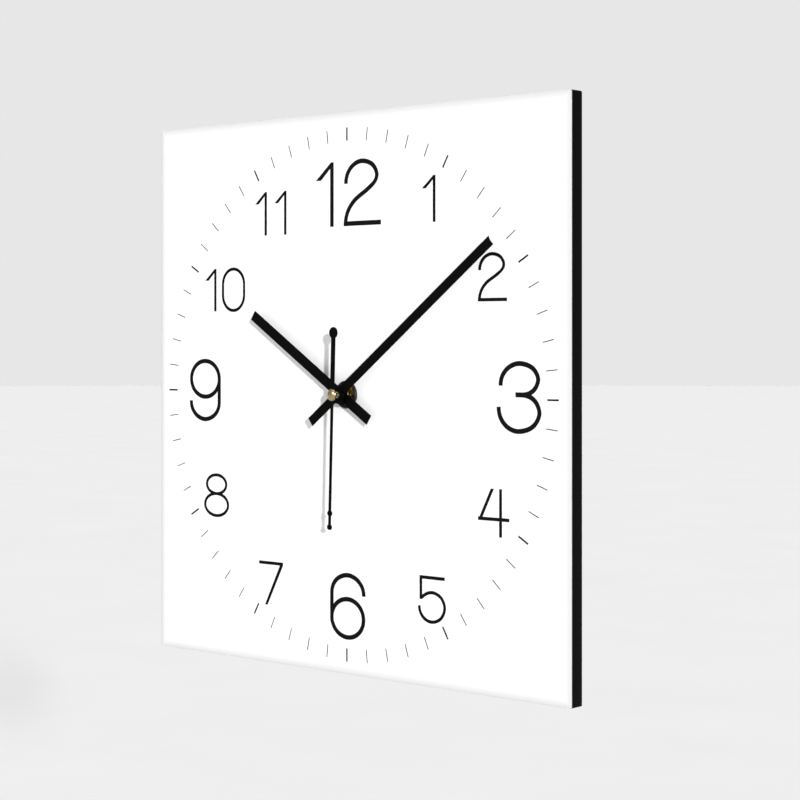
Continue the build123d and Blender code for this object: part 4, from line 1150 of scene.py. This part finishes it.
@dataclass
class Studio:
    """Pale floor, soft light and the camera."""

    floor_level: float = -1.5
    floor_radius: float = 60.0
    backdrop: float = 0.80
    fill: float = 0.50
    key_strength: float = 3.2
    key_angle: float = 2.5
    key_way: Point = (1.40, -1.0, 0.32)
    ceiling_strength: float = 1.5
    ceiling_angle: float = 20.0
    catch_place: Point = (-0.12, -1.2, 0.42)
    catch_size: float = 0.4
    catch_power: float = 12.0
    camera_place: Point = (0.745, -0.8072, 0.032)
    camera_way: Point = (-0.6717, 0.7408, 0.0)
    lens: float = 90.9
    shift: float = -0.0818

    def lay_floor(self) -> None:
        """Lay a plain pale disc under the clock."""
        angle = np.linspace(0, 2 * np.pi, 96, endpoint=False)
        rim = np.column_stack((np.cos(angle), np.sin(angle))) * self.floor_radius
        mesh = bpy.data.meshes.new("floor")
        points = np.column_stack((rim, np.full(len(rim), self.floor_level)))
        mesh.from_pydata(points.tolist(), [], [list(range(len(rim)))])
        floor = bpy.data.objects.new("floor", mesh)
        bpy.context.scene.collection.objects.link(floor)
        graph = Graph("pale_floor")
        cloud = graph.mottle(graph.place(), 0.6)
        pale = graph.blend(cloud, (0.72, 0.72, 0.72), (0.76, 0.76, 0.76))
        graph.set_shader(Base_Color=pale, Roughness=0.9)
        mesh.materials.append(graph.material)

    def light(self) -> None:
        """Fill the room evenly, with one soft key light from the right."""
        world = bpy.data.worlds.new("studio")
        world.use_nodes = True
        tree = world.node_tree
        tree.nodes.clear()
        path = tree.nodes.new("ShaderNodeLightPath")
        room = tree.nodes.new("ShaderNodeBackground")
        room.inputs["Strength"].default_value = self.fill
        shown = tree.nodes.new("ShaderNodeBackground")
        shown.inputs["Strength"].default_value = self.backdrop
        for background in (room, shown):
            background.inputs["Color"].default_value = (1.0, 1.0, 1.0, 1.0)
        mix = tree.nodes.new("ShaderNodeMixShader")
        output = tree.nodes.new("ShaderNodeOutputWorld")
        tree.links.new(path.outputs["Is Camera Ray"], mix.inputs[0])
        tree.links.new(room.outputs[0], mix.inputs[1])
        tree.links.new(shown.outputs[0], mix.inputs[2])
        tree.links.new(mix.outputs[0], output.inputs["Surface"])
        bpy.context.scene.world = world
        self.hang_sun("key", self.key_way, self.key_strength, self.key_angle)
        self.hang_sun("ceiling", (0.0, 0.0, 1.0), self.ceiling_strength, self.ceiling_angle)
        self.hang_catch_light()
        bpy.context.scene.view_settings.view_transform = "Standard"

    def hang_sun(self, name: str, way: Point, strength: float, angle: float) -> None:
        """Hang a distant soft lamp.

        Args:
            name: Name of the lamp.
            way: Direction from the clock to the lamp.
            strength: Its strength.
            angle: How wide it looks from the clock, in degrees.
        """
        lamp = bpy.data.lights.new(name, "SUN")
        lamp.energy = strength
        lamp.angle = math.radians(angle)
        holder = bpy.data.objects.new(name, lamp)
        holder.rotation_mode = "QUATERNION"
        holder.rotation_quaternion = Vector(way).to_track_quat("Z", "Y")
        bpy.context.scene.collection.objects.link(holder)

    def hang_catch_light(self) -> None:
        """Hang a small panel that only puts highlights on the metal."""
        lamp = bpy.data.lights.new("catch_light", "AREA")
        lamp.energy = self.catch_power
        lamp.size = self.catch_size
        holder = bpy.data.objects.new("catch_light", lamp)
        turn = Vector(self.catch_place).to_track_quat("Z", "Y").to_matrix().to_4x4()
        holder.matrix_world = Matrix.Translation(self.catch_place) @ turn
        holder.visible_diffuse = False
        bpy.context.scene.collection.objects.link(holder)

    def set_camera(self) -> None:
        """Stand the camera level, to the right of the clock."""
        data = bpy.data.cameras.new("camera")
        data.lens = self.lens
        data.shift_y = self.shift
        data.clip_end = 100.0
        camera = bpy.data.objects.new("camera", data)
        turn = Vector(self.camera_way).to_track_quat("-Z", "Y").to_matrix().to_4x4()
        camera.matrix_world = Matrix.Translation(self.camera_place) @ turn
        bpy.context.scene.collection.objects.link(camera)
        bpy.context.scene.camera = camera

    def build(self) -> None:
        """Set up the floor, the light and the camera."""
        self.lay_floor()
        self.light()
        self.set_camera()


def main() -> None:
    """Build the clock's looks and the studio."""
    logging.basicConfig(level=logging.INFO)
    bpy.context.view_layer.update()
    mechanism = (Housing(), Battery(), StepMotor(), GearTrain())
    for part in (Dial(), BackBoard(), BushingStack(), HandSet(), *mechanism):
        part.build()
    Studio().build()


if __name__ == "__main__":
    main()
